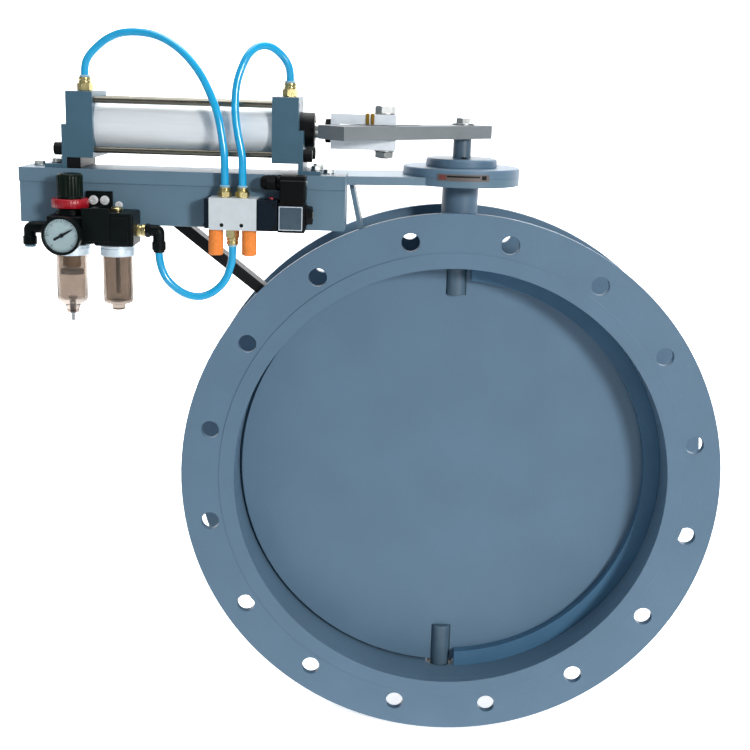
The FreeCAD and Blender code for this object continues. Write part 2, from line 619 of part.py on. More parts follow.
def rod_line():
    """Piston, rod, lock nut, fork and pin, which travel together."""
    piston_x = REAR_CAP_RIGHT + d.piston_start
    piston_r = d.barrel_bore / 2 - 0.08
    groove = piston_r - 3
    thick = d.piston_thick
    rod_r = d.rod_dia / 2
    g = d.seal_groove
    keep(turned("piston", [(rod_r, 0), (piston_r, 0), (piston_r, 3), (groove, 3), (groove, 3 + g),
                           (piston_r, 3 + g), (piston_r, thick - 3 - g), (groove, thick - 3 - g),
                           (groove, thick - 3), (piston_r, thick - 3), (piston_r, thick), (rod_r, thick)],
                (piston_x, ROD_Y, ROD_Z), RIGHT))
    seals = [tube(f"piston_seal_{count}", d.barrel_bore / 2 - 0.03, groove, g,
                  (piston_x + start, ROD_Y, ROD_Z), RIGHT)
             for count, start in enumerate((3, thick - 3 - g))]
    keep(group("piston_seals", *seals))
    keep(rod("piston_rod", rod_r, THROAT_X - 1 - piston_x, (piston_x, ROD_Y, ROD_Z), RIGHT))
    keep(cut("lock_nut", hexagon("lock_nut_hex", d.nut_flats, d.nut_thick,
                                 (FORK_LEFT - d.nut_thick, ROD_Y, ROD_Z), RIGHT),
             rod("lock_nut_bore", rod_r, d.nut_thick, (FORK_LEFT - d.nut_thick, ROD_Y, ROD_Z), RIGHT)))
    half_w = d.fork_width / 2
    half_h = d.fork_height / 2
    gap = d.fork_gap / 2
    block = box("fork_block", (FORK_LEFT, ROD_Y - half_w, ROD_Z - half_h),
                (PIN_X + d.fork_nose, ROD_Y + half_w, ROD_Z + half_h))
    slot = box("fork_slot", (THROAT_X, ROD_Y - half_w, ROD_Z - gap),
               (PIN_X + d.fork_nose, ROD_Y + half_w, ROD_Z + gap))
    socket = rod("fork_socket", rod_r, d.fork_base - 1, (FORK_LEFT, ROD_Y, ROD_Z), RIGHT)
    eye = rod("fork_eye", d.pin_dia / 2, d.fork_height, (PIN_X, ROD_Y, ROD_Z - half_h))
    keep(cut("rod_fork", block, slot, socket, eye))
    pin = rod("pin_shank", d.pin_dia / 2, d.fork_height + 9, (PIN_X, ROD_Y, ROD_Z - half_h - 9))
    head = hexagon("pin_head", 19, 9, (PIN_X, ROD_Y, ROD_Z + half_h))
    nut = hexagon("pin_nut", 19, 8, (PIN_X, ROD_Y, ROD_Z - half_h - 8))
    keep(fuse("fork_pin", pin, head, nut))


def air_unit():
    fx, ox, y = d.filter_x, d.oiler_x, UNIT_Y
    half = d.unit_deep / 2
    low = d.unit_low
    filter_r = d.filter_bowl_dia / 2
    oiler_r = d.oiler_bowl_dia / 2
    head = box("regulator_head", (fx - half, UNIT_FRONT, low), (fx + half, d.unit_back, d.unit_high))
    bonnet_r = d.bonnet_dia / 2
    bonnet = rod("regulator_bonnet", bonnet_r, d.bonnet_high - d.unit_high, (fx, y, d.unit_high))
    boss = rod("gauge_boss", d.boss_dia / 2, d.boss_long, (fx, UNIT_FRONT, d.gauge_height), FRONT)
    port_r = d.unit_port / 2
    spindle_r = d.spindle_dia / 2
    deep = d.unit_port_deep
    room_deep = 12
    blank = fuse("regulator_blank", head, bonnet, boss)
    keep(cut("regulator_body", blank,
             rod("regulator_spindle_hole", spindle_r + d.screw_hole_gap, 20, (fx, y, d.bonnet_high - 20)),
             rod("regulator_inlet", port_r, deep, (fx - half, y, d.port_height), RIGHT),
             rod("regulator_bowl_room", filter_r - d.bowl_wall - 1, room_deep, (fx, y, low)),
             rod("gauge_way", 3, 12, (fx, UNIT_FRONT + 5, d.gauge_height), FRONT)))
    oiler = box("oiler_head", (ox - half, UNIT_FRONT, low), (ox + half, d.unit_back, d.oiler_high))
    keep(cut("lubricator_body", oiler,
             rod("oiler_outlet", port_r, deep, (ox + half - deep, y, d.port_height), RIGHT),
             rod("oiler_screw_hole", spindle_r + d.screw_hole_gap, 12.5, (ox, y, d.oiler_high - 12.5)),
             rod("oiler_bowl_room", oiler_r - d.bowl_wall - 1, room_deep, (ox, y, low))))
    left, right = fx + half, ox - half
    plate_low = low + 2
    spacer = box("joint_spacer", (left, UNIT_FRONT, plate_low), (right, d.unit_back, d.bonnet_high))
    clamp = box("joint_clamp", (left - 4, UNIT_FRONT - 3, plate_low + 3),
                (right + 17, UNIT_FRONT, d.bonnet_high + 2))
    tab = box("joint_tab", (left - 9, d.unit_back, plate_low), (right + 11, d.beam_front, d.bonnet_high + 15))
    keep(fuse("joining_bracket", spacer, clamp, tab))
    keep(turned("lock_ring", ring_outline(bonnet_r - 1.4, d.lock_ring_dia / 2, 0, d.lock_ring_thick),
                (fx, y, d.bonnet_high)))
    nose_r = spindle_r - 1
    keep(turned("adjusting_spindle", [(0, 0), (spindle_r, 0), (spindle_r, 24), (nose_r, 24),
                                      (nose_r, 44), (0, 44)], (fx, y, d.bonnet_high - 15)))
    knob_r = d.knob_dia / 2
    long = d.knob_high - d.knob_low
    socket_r = nose_r + 0.1
    knob = turned("knob_round", [(0, 21), (socket_r, 21), (socket_r, 0), (knob_r, 0),
                                 (knob_r, long - 2), (knob_r - 2, long), (0, long)], (fx, y, d.knob_low))
    grooves = 10
    grips = []
    for count in range(grooves):
        angle = 2 * math.pi * count / grooves
        grips.append(rod(f"knob_groove_{count}", 1.1, long,
                         (fx + knob_r * math.cos(angle), y + knob_r * math.sin(angle), d.knob_low)))
    keep(cut("regulator_knob", knob, *grips))


def bowls():
    """Both bowls with their collars, and what stands inside them."""
    fx, ox, y = d.filter_x, d.oiler_x, UNIT_Y
    low, base, wall = d.unit_low, d.bowl_low, d.bowl_wall
    tall = low - base
    filter_r = d.filter_bowl_dia / 2
    oiler_r = d.oiler_bowl_dia / 2
    drain_r = d.drain_dia / 2
    tip = filter_r - 7
    keep(turned("filter_bowl", [(drain_r + 0.1, -9), (tip - 2, -9), (tip, -1), (filter_r, 2),
                                (filter_r, tall), (filter_r - wall, tall), (filter_r - wall, 4),
                                (drain_r + 0.1, 2)], (fx, y, base)))
    cup = turned("lubricator_cup", [(0, 0), (oiler_r - 2, 0), (oiler_r, 2), (oiler_r, tall),
                                    (oiler_r - wall, tall), (oiler_r - wall, 3), (0, 3)], (ox, y, base))
    keep(fuse("lubricator_bowl", cup, rod("oiler_drain_cap", 7, 7.5, (ox, y, base - 7))))
    high = d.collar_high
    gap = d.bowl_gap
    keep(group("bowl_collars",
               turned("filter_collar", ring_outline(filter_r + gap, d.filter_collar_dia / 2, 0, high),
                      (fx, y, low - high)),
               turned("oiler_collar", ring_outline(oiler_r + gap, d.oiler_collar_dia / 2, 0, high),
                      (ox, y, low - high))))
    keep(group("bowl_inserts",
               turned("filter_element", [(0, 0), (10, 0), (12.5, 1), (12.5, 3), (4, 4), (4, 6), (9, 6),
                                         (9, 24), (5, 24), (5, 33), (0, 33)], (fx, y, low - 31)),
               turned("siphon_tube", ring_outline(1.2, 2.2, 0, 56), (ox, y, low - 50))))
    keep(turned("drain_valve", [(0, -20), (drain_r - 0.5, -20), (drain_r, -19), (drain_r, 2.8),
                                (5, 2.8), (5, 4.8), (0, 4.8)], (fx, y, base)))
    screw_r = d.spindle_dia / 2
    keep(turned("oil_adjuster", [(0, -12), (screw_r, -12), (screw_r, 0.1), (screw_r + 2, 0.1),
                                 (screw_r + 2, 3), (screw_r + 1, 4), (0, 4)], (ox, y, d.oiler_high)))


def gauge():
    radius = d.gauge_dia / 2
    x, z = d.filter_x, d.gauge_height
    start = UNIT_FRONT - d.boss_long
    deep = start - d.gauge_front
    face = radius - 2.5
    keep(turned("gauge_case", [(0, 0), (5, 0), (5, 2), (radius - 2, 2), (radius, 4), (radius, deep),
                               (face, deep), (face, deep - 5), (1.05, deep - 5), (1.05, deep - 7),
                               (0, deep - 7)], (x, start, z), FRONT))
    keep(rod("gauge_glass", face - d.bowl_gap, d.glass_thick, (x, d.gauge_front + 1.4, z), FRONT))
    blade = new_body("needle_blade")
    outline = [(-8, -0.9), (0, -1.1), (13, -0.25), (13, 0.25), (0, 1.1), (-8, 0.9)]
    pad(blade, "needle_pad", polygon_sketch(blade, "needle_outline", "XY_Plane", outline), as_size(0.5))
    hub = rod("needle_hub", 1.9, 1.1, (0, 0, -0.2))
    pivot = rod("needle_pivot", 1, 2.2, (0, 0, -2.3))
    needle = fuse("gauge_needle", blade, hub, pivot)
    reading = FreeCAD.Rotation(FreeCAD.Vector(0, -1, 0), 30)
    place(needle, (x, d.gauge_front + 3.9, z), reading.multiply(FRONT))
    keep(needle)


def elbow(name, x, side, reach, drop):
    """Push-in elbow: a threaded leg into the head and a leg that looks down."""
    y, z = UNIT_Y, d.port_height
    leg = 7
    turn = RIGHT if side > 0 else LEFT
    flat = rod(f"{name}_flat", leg - 1, reach, (x, y, z), turn)
    stub = rod(f"{name}_thread", 4.9, 10, (x - side * 10, y, z), turn)
    knee = primitive("Part::Sphere", f"{name}_knee", {"Radius": leg}, (x + side * reach, y, z), UP)
    down = rod(f"{name}_down", leg, drop, (x + side * reach, y, z), DOWN)
    bore = rod(f"{name}_bore", d.hose_dia / 2, d.hose_bite,
               (x + side * reach, y, z - drop + d.hose_bite), DOWN)
    return cut(name, fuse(f"{name}_solid", flat, stub, knee, down), bore)


def nipple(name, flats, length, shank, at, turn):
    """Straight push-in fitting: hexagon, round collar and threaded shank."""
    x, y, z = at
    way = turn.multVec(FreeCAD.Vector(0, 0, 1)).z
    hex_long = length * 0.55
    hexa = hexagon(f"{name}_hex", flats, hex_long, at, turn)
    collar = rod(f"{name}_collar", as_size(flats) / 2 - 0.8, length - hex_long,
                 (x, y, z + hex_long * way), turn)
    thread = rod(f"{name}_shank", shank, d.nipple_long, (x, y, z - d.nipple_long * way), turn)
    return fuse(name, hexa, collar, thread)


def fittings():
    half = d.unit_deep / 2
    inlet = elbow("inlet_elbow", d.filter_x - half, -1, 22, 20)
    outlet = elbow("outlet_elbow", d.oiler_x + half + 9, 1, 13, 22)
    keep(group("push_in_elbows", inlet, outlet))
    cap_shank = d.cap_port / 2 - 0.1
    valve_shank = d.valve_port / 2 - d.press_clear
    nipples = [
        nipple("rear_fitting", 14, 16, cap_shank, (REAR_PORT_X, ROD_Y, CAP_HIGH), UP),
        nipple("front_fitting", 14, 16, cap_shank, (FRONT_PORT_X, ROD_Y, CAP_HIGH), UP),
        nipple("port_a_fitting", 13, 12, valve_shank, (VALVE_MID - 9.5, VALVE_Y, d.valve_high), UP),
        nipple("port_b_fitting", 13, 12, valve_shank, (VALVE_MID + 8.5, VALVE_Y, d.valve_high), UP),
        nipple("supply_fitting", 13, 18, valve_shank, (LOW_PORT_X, VALVE_Y, d.valve_low), DOWN),
        tube("outlet_nipple", d.nipple_dia / 2, d.unit_port / 2 - d.press_clear, 8.8,
             (d.oiler_x + half + 0.1, UNIT_Y, d.port_height), RIGHT),
    ]
    keep(group("brass_fittings", *nipples))


def solenoid_valve():
    block = box("valve_solid", (d.valve_left, d.valve_front, d.valve_low),
                (VALVE_RIGHT, d.beam_front, d.valve_high))
    tools = [rod("valve_bore", d.spool_bore / 2, d.valve_long, (d.valve_left, VALVE_Y, VALVE_Z), RIGHT)]
    room = d.valve_high - VALVE_Z
    port_r = d.valve_port / 2
    for count, shift in enumerate((-9.5, 8.5)):
        tools.append(rod(f"valve_top_port_{count}", port_r, room, (VALVE_MID + shift, VALVE_Y, VALVE_Z)))
    for count, shift in enumerate((-1, 0, 1)):
        spot = LOW_PORT_X + shift * d.port_pitch
        tools.append(rod(f"valve_low_port_{count}", port_r, room, (spot, VALVE_Y, VALVE_Z), DOWN))
    keep(cut("valve_block", block, *tools))
    top = d.valve_high - 1
    end = box("valve_end", (d.valve_left - d.end_thick, d.valve_front + 1, d.valve_low + 1),
              (d.valve_left, d.beam_front, top))
    coil_left = VALVE_RIGHT + d.pilot_long
    pilot = box("pilot_solid", (VALVE_RIGHT, d.valve_front, d.valve_low), (coil_left, d.beam_front, top))
    button_x, button_y = coil_left - 7, d.valve_front + d.button_inset
    button_hole = rod("pilot_button_hole", d.button_dia / 2 + 0.1, 10, (button_x, button_y, top - 10))
    keep(group("pilot_blocks", end, cut("pilot_block", pilot, button_hole)))
    keep(rod("override_button", d.button_dia / 2, 10, (button_x, button_y, top - 7.5)))
    land = d.spool_bore / 2 - d.run_clear
    neck = land - 2.5
    outline = [(0, 0)]
    for start in (0, 17, 34):
        outline += [(land, start), (land, start + 6)]
        if start < 34:
            outline += [(neck, start + 6), (neck, start + 17)]
    outline += [(0, 40)]
    keep(turned("spool", outline, (d.valve_left + 2, VALVE_Y, VALVE_Z), RIGHT))
    coil_right = coil_left + d.coil_long
    solid = box("coil_solid", (coil_left, d.valve_front - 1, d.valve_low - 1),
                (coil_right, d.beam_front, d.coil_high))
    keep(cut("coil", solid, rod("coil_core", d.coil_bore / 2, d.coil_long,
                                (coil_left, VALVE_Y, VALVE_Z), RIGHT)))
    plug_x, plug_y, plug_z = coil_left + 2, d.valve_front + 12, d.coil_high + d.gland_rise
    shell = box("plug_shell", (plug_x, d.valve_front - 1, d.coil_high),
                (coil_right, d.beam_front - d.lid_skin - 1, d.coil_high + d.plug_high))
    gland = rod("plug_gland", 8, 20, (plug_x, plug_y, plug_z), LEFT)
    bore = rod("plug_bore", d.cable_dia / 2, 24, (plug_x + 4, plug_y, plug_z), LEFT)
    keep(cut("connector", fuse("plug_solid", shell, gland), bore))
    silencer_r = d.silencer_dia / 2
    thread_r = port_r - 0.1
    long = d.silencer_long
    outline = [(0, -9), (thread_r, -9), (thread_r, 0), (silencer_r, 0), (silencer_r, long - 1),
               (silencer_r - 1, long), (0, long)]
    silencers = [turned(name, outline, (LOW_PORT_X + shift * d.port_pitch, VALVE_Y, d.valve_low), DOWN)
                 for name, shift in (("silencer_left", -1), ("silencer_right", 1))]
    keep(group("silencers", *silencers))


def zinc_bolts():
    """Lid bolts, foot bolts, unit screws and the coil's nut."""
    lid = d.beam_top
    foot_top = lid + d.foot_thick - 1
    lid_bolt_y = -20
    rear_foot_x, front_foot_x = -421.5, -154
    spots = [("lid_bolt_left", -444, lid_bolt_y, lid), ("lid_bolt_right", -142, lid_bolt_y, lid)]
    for y in (-34, -1):
        spots.append((f"rear_foot_bolt_{-y}", rear_foot_x, y, foot_top))
        spots.append((f"front_foot_bolt_{-y}", front_foot_x, y, foot_top))
    bolts = [hexagon(name, 10, 4, (x, y, z)) for name, x, y, z in spots]
    tab_z = 311
    for name, x in (("unit_screw_left", -380), ("unit_screw_right", -368.5)):
        bolts.append(rod(name, 4, 3, (x, d.unit_back, tab_z), FRONT))
    bolts.append(rod("beam_screw", 3.5, 2.5, (-355, d.beam_front, tab_z - 5), FRONT))
    coil_left = VALVE_RIGHT + d.pilot_long
    nut = hexagon("coil_nut_hex", 17, 8, (coil_left + d.coil_long, VALVE_Y, VALVE_Z), RIGHT)
    stem = rod("coil_nut_stem", d.coil_bore / 2 - 0.1, d.coil_long + 8, (coil_left, VALVE_Y, VALVE_Z), RIGHT)
    bolts.append(fuse("coil_nut", nut, stem))
    keep(group("zinc_fasteners", *bolts))


# routes of the three air hoses, as control points from fitting to fitting
REAR_ROUTE = [(-395.5, -17.3, 435), (-395.5, -17.3, 445), (-391, -17.65, 454.5), (-382, -18, 463.5),
              (-372.5, -21, 471), (-355.5, -25, 478.5), (-331, -31, 479), (-310, -39, 474),
              (-288.5, -47, 460.5), (-270.5, -53.5, 440.5), (-258, -58.5, 416.5), (-250.5, -62.5, 396),
              (-245.5, -65, 366), (-244.5, -65.5, 351), (-244.5, -65.5, 331)]
FRONT_ROUTE = [(-183.5, -17.3, 435), (-183.5, -17.3, 445), (-187, -19.15, 454), (-193.5, -21, 462),
               (-203.5, -29, 469.5), (-215, -38.5, 468.5), (-223.5, -46.5, 460.5),
               (-229.5, -51.5, 447.5), (-234.5, -55.5, 430.5), (-235.5, -59.5, 408),
               (-232.5, -63, 384), (-227, -65, 362), (-226.5, -65.5, 346.5), (-226.5, -65.5, 331)]
SUPPLY_ROUTE = [(-310, -76, 262), (-310, -76, 253.5), (-304, -76, 236), (-293, -75, 225),
                (-281, -73.5, 218), (-267.5, -71.5, 216.5), (-254.5, -69.5, 222), (-243, -67.5, 234),
                (-238.5, -66, 248.5), (-236.5, -65.5, 256), (-236.5, -65.5, 269)]


def hose_path(name, route):
    """Straight runs joined by tangent arcs, as large as the two runs at each point allow."""
    points = [FreeCAD.Vector(*point) for point in route]
    edges = []
    radii = []
    last = points[0]
    for before, point, after in zip(points, points[1:], points[2:]):
        come = point - before
        leave = after - point
        half_turn = come.getAngle(leave) / 2
        reach = 0.45 * min(come.Length, leave.Length)
        radii.append(reach / math.tan(half_turn))
        come.normalize()
        leave.normalize()
        start = point - come * reach
        end = point + leave * reach
        inward = leave - come
        inward.normalize()
        centre = point + inward * (radii[-1] / math.cos(half_turn))
        middle = centre - inward * radii[-1]
        edges.append(Part.LineSegment(last, start).toShape())
        edges.append(Part.Arc(start, middle, end).toShape())
        last = end
    edges.append(Part.LineSegment(last, points[-1]).toShape())
    print(name, "bend radii", [round(radius) for radius in radii])
    return Part.Wire(edges)


def hose(name, route):
    """A Part::Feature, because its path is a wire of runs and arcs."""
    path = hose_path(name, route)
    radius = d.hose_dia.value / 2
    start = FreeCAD.Vector(*route[0])
    along = FreeCAD.Vector(*route[1]) - start
    section = Part.Wire(Part.Circle(start, along, radius).toShape())
    shape = path.makePipeShell([section], True, False)
    wanted = math.pi * radius ** 2 * path.Length
    print(name, "length", round(path.Length, 1), "volume ratio", round(shape.Volume / wanted, 4))
    feature = DOC.addObject("Part::Feature", name)
    feature.Label = name
    feature.Shape = shape
    feature.Placement = FreeCAD.Placement()
    keep(feature)


valve_body()
seats()
necks()
seal_rings()
top_works()
shaft_and_disc()
crank()
bracket()
cylinder()
feet()
rod_line()
air_unit()
bowls()
gauge()
fittings()
solenoid_valve()
zinc_bolts()
hose("rear_hose", REAR_ROUTE)
hose("front_hose", FRONT_ROUTE)
hose("supply_hose", SUPPLY_ROUTE)

DOC.recompute()
FAILED = [thing.Label for thing in DOC.Objects if {"Invalid", "Error"} & set(thing.State)]
if FAILED:
    raise RuntimeError(f"these did not recompute: {FAILED}")
for thing in NODES:
    if thing.Shape.isNull() or not thing.Shape.isValid():
        raise RuntimeError(f"{thing.Label} has no valid shape")
    if not thing.Shape.Solids:
        raise RuntimeError(f"{thing.Label} has no solid")

os.makedirs("parts", exist_ok=True)
for thing in NODES:
    thing.Shape.exportStep(os.path.join("parts", f"{thing.Label}.step"))
print(len(NODES), "sub-parts written")
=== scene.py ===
import math

import bmesh
import bpy
from mathutils import Matrix, Vector


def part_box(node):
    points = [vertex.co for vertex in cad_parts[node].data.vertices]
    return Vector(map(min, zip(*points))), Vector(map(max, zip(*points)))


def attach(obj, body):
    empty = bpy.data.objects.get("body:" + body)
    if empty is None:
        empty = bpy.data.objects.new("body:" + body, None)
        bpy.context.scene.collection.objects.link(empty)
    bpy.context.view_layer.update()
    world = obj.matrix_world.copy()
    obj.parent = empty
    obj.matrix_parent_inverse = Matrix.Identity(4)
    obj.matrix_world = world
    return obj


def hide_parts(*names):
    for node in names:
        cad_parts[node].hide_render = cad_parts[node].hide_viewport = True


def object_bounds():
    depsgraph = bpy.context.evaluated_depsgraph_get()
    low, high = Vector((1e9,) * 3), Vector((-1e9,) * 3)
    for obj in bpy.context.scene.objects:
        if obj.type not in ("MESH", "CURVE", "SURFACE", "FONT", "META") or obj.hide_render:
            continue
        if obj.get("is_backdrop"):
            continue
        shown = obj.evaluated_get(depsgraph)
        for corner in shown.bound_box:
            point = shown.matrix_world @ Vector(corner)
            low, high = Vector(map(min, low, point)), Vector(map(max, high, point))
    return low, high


# Looks for the cylinder-operated butterfly valve.  Shapes are written in millimetres in the CAD
# frame (+Z up, +Y along the pipe) and turned into metres when a mesh is made.  The hoses' routes,
# the camera, the lights and the backdrop are in metres.

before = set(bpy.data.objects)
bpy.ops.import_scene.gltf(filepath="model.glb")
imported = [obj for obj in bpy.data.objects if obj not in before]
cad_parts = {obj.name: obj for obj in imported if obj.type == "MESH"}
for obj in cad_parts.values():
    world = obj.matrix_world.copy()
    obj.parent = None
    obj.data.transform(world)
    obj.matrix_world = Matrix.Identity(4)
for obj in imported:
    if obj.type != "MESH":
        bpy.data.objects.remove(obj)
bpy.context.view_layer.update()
MM = 0.001
ROOT = "valve_and_bracket"
X, Y, Z = Vector((1, 0, 0)), Vector((0, 1, 0)), Vector((0, 0, 1))


def span(node):
    """Lowest and highest corner of a CAD node, in millimetres."""
    low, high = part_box(node)
    return low / MM, high / MM


def middle(node):
    low, high = span(node)
    return (low + high) / 2


# ---- materials

SPECK_SCALE, SPECK_EDGE, SPECK_LIGHT = 420, (0.62, 0.72), 1.9


def colour(code):
    """Linear colour, from a six-digit sRGB code."""
    channels = [(code >> shift & 255) / 255 for shift in (16, 8, 0)]
    return [c / 12.92 if c <= 0.04045 else ((c + 0.055) / 1.055) ** 2.4 for c in channels] + [1.0]


def scaled(rgba, factor):
    return [min(1.0, channel * factor) for channel in rgba[:3]] + [1.0]


def noise(tree, vector, scale, detail=3.0):
    node = tree.nodes.new("ShaderNodeTexNoise")
    node.inputs["Scale"].default_value = scale
    node.inputs["Detail"].default_value = detail
    tree.links.new(vector, node.inputs["Vector"])
    return node.outputs["Fac"]


def remap(tree, value, low, high, start=0.3, end=0.7):
    node = tree.nodes.new("ShaderNodeMapRange")
    for name, number in (("From Min", start), ("From Max", end), ("To Min", low), ("To Max", high)):
        node.inputs[name].default_value = number
    tree.links.new(value, node.inputs["Value"])
    return node.outputs["Result"]


def blend_colours(tree, factor, first, second):
    node = tree.nodes.new("ShaderNodeMix")
    node.data_type = "RGBA"
    tree.links.new(factor, node.inputs["Factor"])
    for socket, value in (("A", first), ("B", second)):
        slot = [s for s in node.inputs if s.name == socket and s.type == "RGBA"][0]
        if isinstance(value, list):
            slot.default_value = value
        else:
            tree.links.new(value, slot)
    return [s for s in node.outputs if s.type == "RGBA"][0]


def surface(name, slot, code, rough, metal=0.0, mottle=0.07, patch=30, grain=0.15, fine=600,
            stretch=(1, 1, 1), specks=0.0, depth=0.0003, **sockets):
    """A finish whose colour drifts over patches and whose gloss and bump follow a fine grain."""
    material = bpy.data.materials.new(f"{name}_look")
    material.use_nodes = True
    tree = material.node_tree
    shader = tree.nodes["Principled BSDF"]
    place = tree.nodes.new("ShaderNodeTexCoord")
    mapping = tree.nodes.new("ShaderNodeMapping")
    mapping.inputs["Scale"].default_value = stretch
    tree.links.new(place.outputs["Object"], mapping.inputs["Vector"])
    base = colour(code)
    patches = remap(tree, noise(tree, mapping.outputs["Vector"], patch), 0.0, 1.0)
    tint = blend_colours(tree, patches, scaled(base, 1 - mottle), scaled(base, 1 + mottle))
    grains = noise(tree, mapping.outputs["Vector"], fine, 2.0)
    if specks:
        dots = remap(tree, noise(tree, place.outputs["Object"], SPECK_SCALE, 4.0), 0.0, specks, *SPECK_EDGE)
        tint = blend_colours(tree, dots, tint, scaled(base, SPECK_LIGHT))
    tree.links.new(tint, shader.inputs["Base Color"])
    tree.links.new(remap(tree, grains, rough * 0.85, min(1.0, rough * 1.2)), shader.inputs["Roughness"])
    bump = tree.nodes.new("ShaderNodeBump")
    bump.inputs["Strength"].default_value = grain
    bump.inputs["Distance"].default_value = depth
    tree.links.new(grains, bump.inputs["Height"])
    tree.links.new(bump.outputs["Normal"], shader.inputs["Normal"])
    shader.inputs["Metallic"].default_value = metal
    for socket, value in sockets.items():
        shader.inputs[socket.replace("_", " ")].default_value = value
    return material


LACQUER = {"Coat_Weight": 0.1, "Coat_Roughness": 0.3, "Specular_IOR_Level": 0.35}
DRAWN = {"patch": 80, "grain": 0.08, "fine": 120, "stretch": (0.5, 8, 8)}
SMOKED = {"mottle": 0.08, "patch": 60, "grain": 0.03, "fine": 700, "Transmission_Weight": 0.92, "IOR": 1.25}

PAINT = surface("valve_paint", "valve_paint", 0x59748A, 0.42, mottle=0.05, patch=14, grain=0.22, fine=850,
                specks=0.12, **LACQUER)
# Darker copy of the valve paint for the seat rings: painted shade of the recess inside the bore.
SHADED_SEAT_PAINT = surface("seat_paint_shaded", "seat_steel", 0x426885, 0.4, mottle=0.06, patch=30, grain=0.2, fine=850,
                     Specular_IOR_Level=0.3)
BEAM_PAINT = surface("beam_paint", "bracket_paint", 0x5B7688, 0.4, mottle=0.06, patch=20, grain=0.2,
                     fine=800, specks=0.1, **LACQUER)
# Greyer copy of the bracket paint for the crank arm: painted light, the warm tone that light from the right
# gives the arm's faces.
ARM_LIT_PAINT = surface("arm_paint_lit", "bracket_paint", 0x757C80, 0.45, mottle=0.06, patch=35, grain=0.25,
                    fine=900, specks=0.15, Specular_IOR_Level=0.4)
CAP_PAINT = surface("cap_paint", "cap_paint", 0x3C5D6F, 0.38, mottle=0.06, patch=45, grain=0.18, fine=900,
                    **LACQUER)
BARREL = surface("barrel_metal", "anodised_barrel", 0xEEF4F8, 0.45, 0.5, mottle=0.02, patch=60, grain=0.02,
                 fine=90, stretch=(0.4, 9, 9))
STEEL = surface("bright_steel", "bright_rod", 0xD8D8D4, 0.2, 1.0, mottle=0.05, **DRAWN)
TIE_STEEL = surface("tie_steel", "bright_rod", 0x7A776C, 0.28, 1.0, mottle=0.08, **DRAWN)
STEM_PAINT = surface("stem_paint", "bright_rod", 0x485F70, 0.38, mottle=0.08, patch=60, grain=0.15,
                     fine=500)
ZINC = surface("zinc_plate", "zinc", 0xA9ADAD, 0.34, 1.0, mottle=0.12, patch=160, grain=0.2, fine=1200)
NICKEL = surface("fork_nickel", "fork_nickel", 0xE8F0F8, 0.34, 0.4, mottle=0.06, patch=90, grain=0.15,
                 fine=700)
GOLD_CLIP = surface("clip_yellow_zinc", "zinc", 0xB08A3E, 0.3, 1.0, mottle=0.2, patch=150, grain=0.2,
                    fine=900)
BLACK_STEEL = surface("black_steel", "black_metal", 0x0C0E10, 0.38, 0.0, mottle=0.2, patch=120, grain=0.2,
                      fine=900, Specular_IOR_Level=0.15)
BLACK_PAINT = surface("black_paint", "black_metal", 0x0A0C0D, 0.42, mottle=0.2, patch=40, grain=0.2,
                      fine=700, Specular_IOR_Level=0.25)
BRONZE = surface("bush_bronze", "bronze", 0x4A4238, 0.5, 0.2, mottle=0.1, patch=90)
ALLOY = surface("machined_alloy", "piston_alloy", 0xBFC3C6, 0.3, 1.0, mottle=0.05, patch=90, fine=300)
SEAL = surface("seal_rubber", "seal_rubber", 0x0C0C0C, 0.6, mottle=0.2, patch=150, grain=0.3, fine=1400)
UNIT_BLACK = surface("unit_black", "unit_black", 0x080F10, 0.36, mottle=0.2, patch=70, grain=0.25,
                     fine=1600, Specular_IOR_Level=0.1)
KNOB = surface("knob_plastic", "knob_plastic", 0x08150F, 0.33, mottle=0.2, patch=90, grain=0.2, fine=1600,
               Specular_IOR_Level=0.12)
RED = surface("ring_red", "red_ring", 0x9C1020, 0.3, mottle=0.08, patch=120, grain=0.12, fine=1500)
COLLAR = surface("collar_silver", "collar_silver", 0xDCEBF5, 0.3, 0.45, mottle=0.05, patch=120, grain=0.1,
                 fine=900)
BRASS = surface("fitting_brass", "brass", 0xC8BA86, 0.26, 1.0, mottle=0.1, patch=200, grain=0.12, fine=1400)
SLEEVE = surface("release_sleeve", "hose_blue", 0x8FB6CC, 0.4, mottle=0.06, patch=300, grain=0.1, fine=1500)
ORANGE = surface("silencer_orange", "orange_silencer", 0xF08A3A, 0.75, mottle=0.12, patch=500, grain=0.7,
                 fine=2200, depth=0.0006)
BLOCK = surface("valve_silver", "valve_alloy", 0xCAD3D8, 0.38, 0.2, mottle=0.04, patch=100, grain=0.25,
                fine=1700)
NAVY = surface("pilot_navy", "pilot_plastic", 0x0D1823, 0.35, mottle=0.12, patch=120, grain=0.2, fine=1700,
               Specular_IOR_Level=0.12)
COIL_BLACK = surface("coil_black", "coil_black", 0x090A0B, 0.4, mottle=0.2, patch=100, grain=0.3, fine=1800,
                     Specular_IOR_Level=0.1)
LABEL = surface("plain_label", "coil_black", 0x3A4C5A, 0.35, mottle=0.1, patch=120, grain=0.08, fine=900)
WHITE_SCREW = surface("white_screw", "zinc", 0xE4E8EA, 0.32, 0.3, mottle=0.05, patch=300, grain=0.1,
                      fine=1200)
DIAL = surface("dial_face", "unit_black", 0xEAFBFF, 0.5, mottle=0.03, patch=100, grain=0.05, fine=900)
TICK = surface("dial_ink", "needle_black", 0x1A2228, 0.5, mottle=0.1, patch=300)
GOLD = surface("filter_gold", "element_gold", 0xC79A4E, 0.7, mottle=0.15, patch=500, grain=0.6, fine=2400,
               depth=0.0005)
WHITE_PLASTIC = surface("white_plastic", "element_gold", 0xE9ECEC, 0.45, mottle=0.03, patch=150, grain=0.1,
                        fine=1500)
STRIP = surface("indicator_strip", "indicator_strip", 0x5C5554, 0.45, mottle=0.06, patch=250, grain=0.1,
                fine=1200)
STRIP_RED = surface("indicator_red", "indicator_strip", 0x6E3230, 0.45, mottle=0.08, patch=250, grain=0.1,
                    fine=1200)
